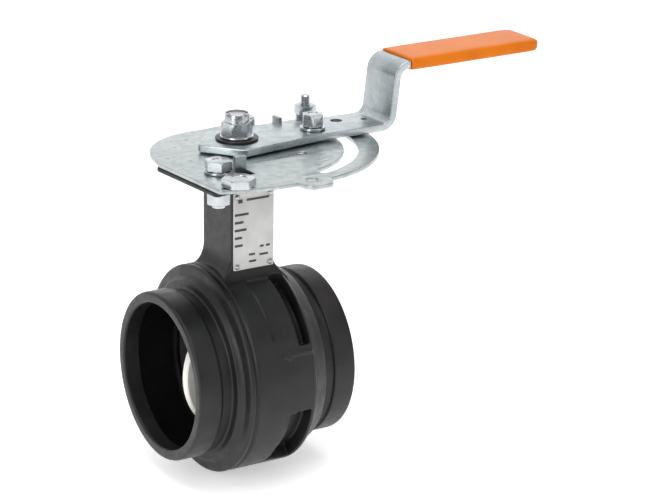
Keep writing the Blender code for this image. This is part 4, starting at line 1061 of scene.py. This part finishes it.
def softbox(name, place, aim, size, power, color=(1.0, 1.0, 1.0)):
    lamp = bpy.data.lights.new(name, "AREA")
    lamp.shape = "RECTANGLE"
    lamp.size = size[0]
    lamp.size_y = size[1]
    lamp.energy = power
    lamp.color = color
    made = bpy.data.objects.new(name, lamp)
    bpy.context.scene.collection.objects.link(made)
    made.location = place
    made.rotation_euler = (Vector(aim) - Vector(place)).to_track_quat("-Z", "Y").to_euler()


def make_lights():
    """Soft boxes over, left and right of the valve, and an even pale surround."""
    aim = (0.05, 0.0, 0.07)
    softbox("over", (0.0, -0.25, 1.3), aim, (1.3, 1.0), 9.0)
    softbox("left", (-1.2, -0.6, 0.55), aim, (0.6, 1.0), 7.0)
    softbox("right", (0.75, -1.15, 0.5), aim, (0.7, 0.8), 1.8)
    world = bpy.data.worlds.new("surround")
    world.use_nodes = True
    tree = world.node_tree
    background = tree.nodes["Background"]
    place = tree.nodes.new("ShaderNodeTexCoord")
    parts = tree.nodes.new("ShaderNodeSeparateXYZ")
    tree.links.new(place.outputs["Generated"], parts.inputs["Vector"])
    shades = tree.nodes.new("ShaderNodeValToRGB")
    stops = shades.color_ramp.elements
    stops[0].position = 0.0
    stops[0].color = (0.34, 0.35, 0.36, 1.0)
    stops[1].position = 1.0
    stops[1].color = (1.0, 1.0, 1.0, 1.0)
    for position, value in ((0.12, 0.42), (0.3, 0.85)):
        stop = stops.new(position)
        stop.color = (value, value, value, 1.0)
    tree.links.new(parts.outputs["Z"], shades.inputs["Fac"])
    sides = ramp(tree, parts.outputs["X"], (1.0, 1.0, 1.0), (0.2, 0.21, 0.24), 0.0, 0.75)
    product = tree.nodes.new("ShaderNodeMix")
    product.data_type = "RGBA"
    product.blend_type = "MULTIPLY"
    product.inputs["Factor"].default_value = 1.0
    tree.links.new(shades.outputs["Color"], product.inputs[6])
    tree.links.new(sides, product.inputs[7])
    tree.links.new(product.outputs[2], background.inputs["Color"])
    background.inputs["Strength"].default_value = 0.62
    bpy.context.scene.world = world
    bpy.context.scene.view_settings.view_transform = "Standard"


def make_camera():
    """A long lens, turned 32 degrees to the left of the front and 18 degrees up."""
    right = Vector((math.cos(VIEW_AZIMUTH), math.sin(VIEW_AZIMUTH), 0.0))
    ahead = Vector((-math.sin(VIEW_AZIMUTH), math.cos(VIEW_AZIMUTH), 0.0))
    above = Vector((0.0, 0.0, 1.0))
    up = ahead * math.sin(VIEW_ELEVATION) + above * math.cos(VIEW_ELEVATION)
    back = above * math.sin(VIEW_ELEVATION) - ahead * math.cos(VIEW_ELEVATION)
    side = right * math.cos(VIEW_ROLL) + up * math.sin(VIEW_ROLL)
    top = up * math.cos(VIEW_ROLL) - right * math.sin(VIEW_ROLL)
    place = back * VIEW_DISTANCE + side * VIEW_ASIDE + top * VIEW_UP
    lens = bpy.data.cameras.new("camera")
    lens.sensor_width = 36.0
    lens.lens = FOCAL_LENGTH
    lens.clip_end = 20.0
    made = bpy.data.objects.new("camera", lens)
    bpy.context.scene.collection.objects.link(made)
    turn = Matrix((side, top, back)).transposed().to_4x4()
    made.matrix_world = Matrix.Translation(place) @ turn
    bpy.context.scene.camera = made


def main():
    make_casting()
    make_plate()
    make_plate_fasteners()
    make_memory_stop()
    make_lever()
    make_grip()
    make_hub()
    make_lock_screw()
    make_nameplate()
    kept = {
        "seat_ring": RUBBER, "upper_bearing": SLEEVE, "lower_bearing": SLEEVE, "seal_cartridge": BRASS,
        "cartridge_o_ring": RUBBER, "stem_o_ring": RUBBER, "retaining_ring": STAINLESS, "bottom_plug": ZINC,
        "hub_nut_insert": NYLON, "lower_stem": STAINLESS, "disc": NICKEL, "disc_pin_upper": STAINLESS,
        "disc_pin_lower": STAINLESS,
    }
    for name, finish in kept.items():
        keep_node(name, finish)
    make_floor()
    make_lights()
    make_camera()


main()
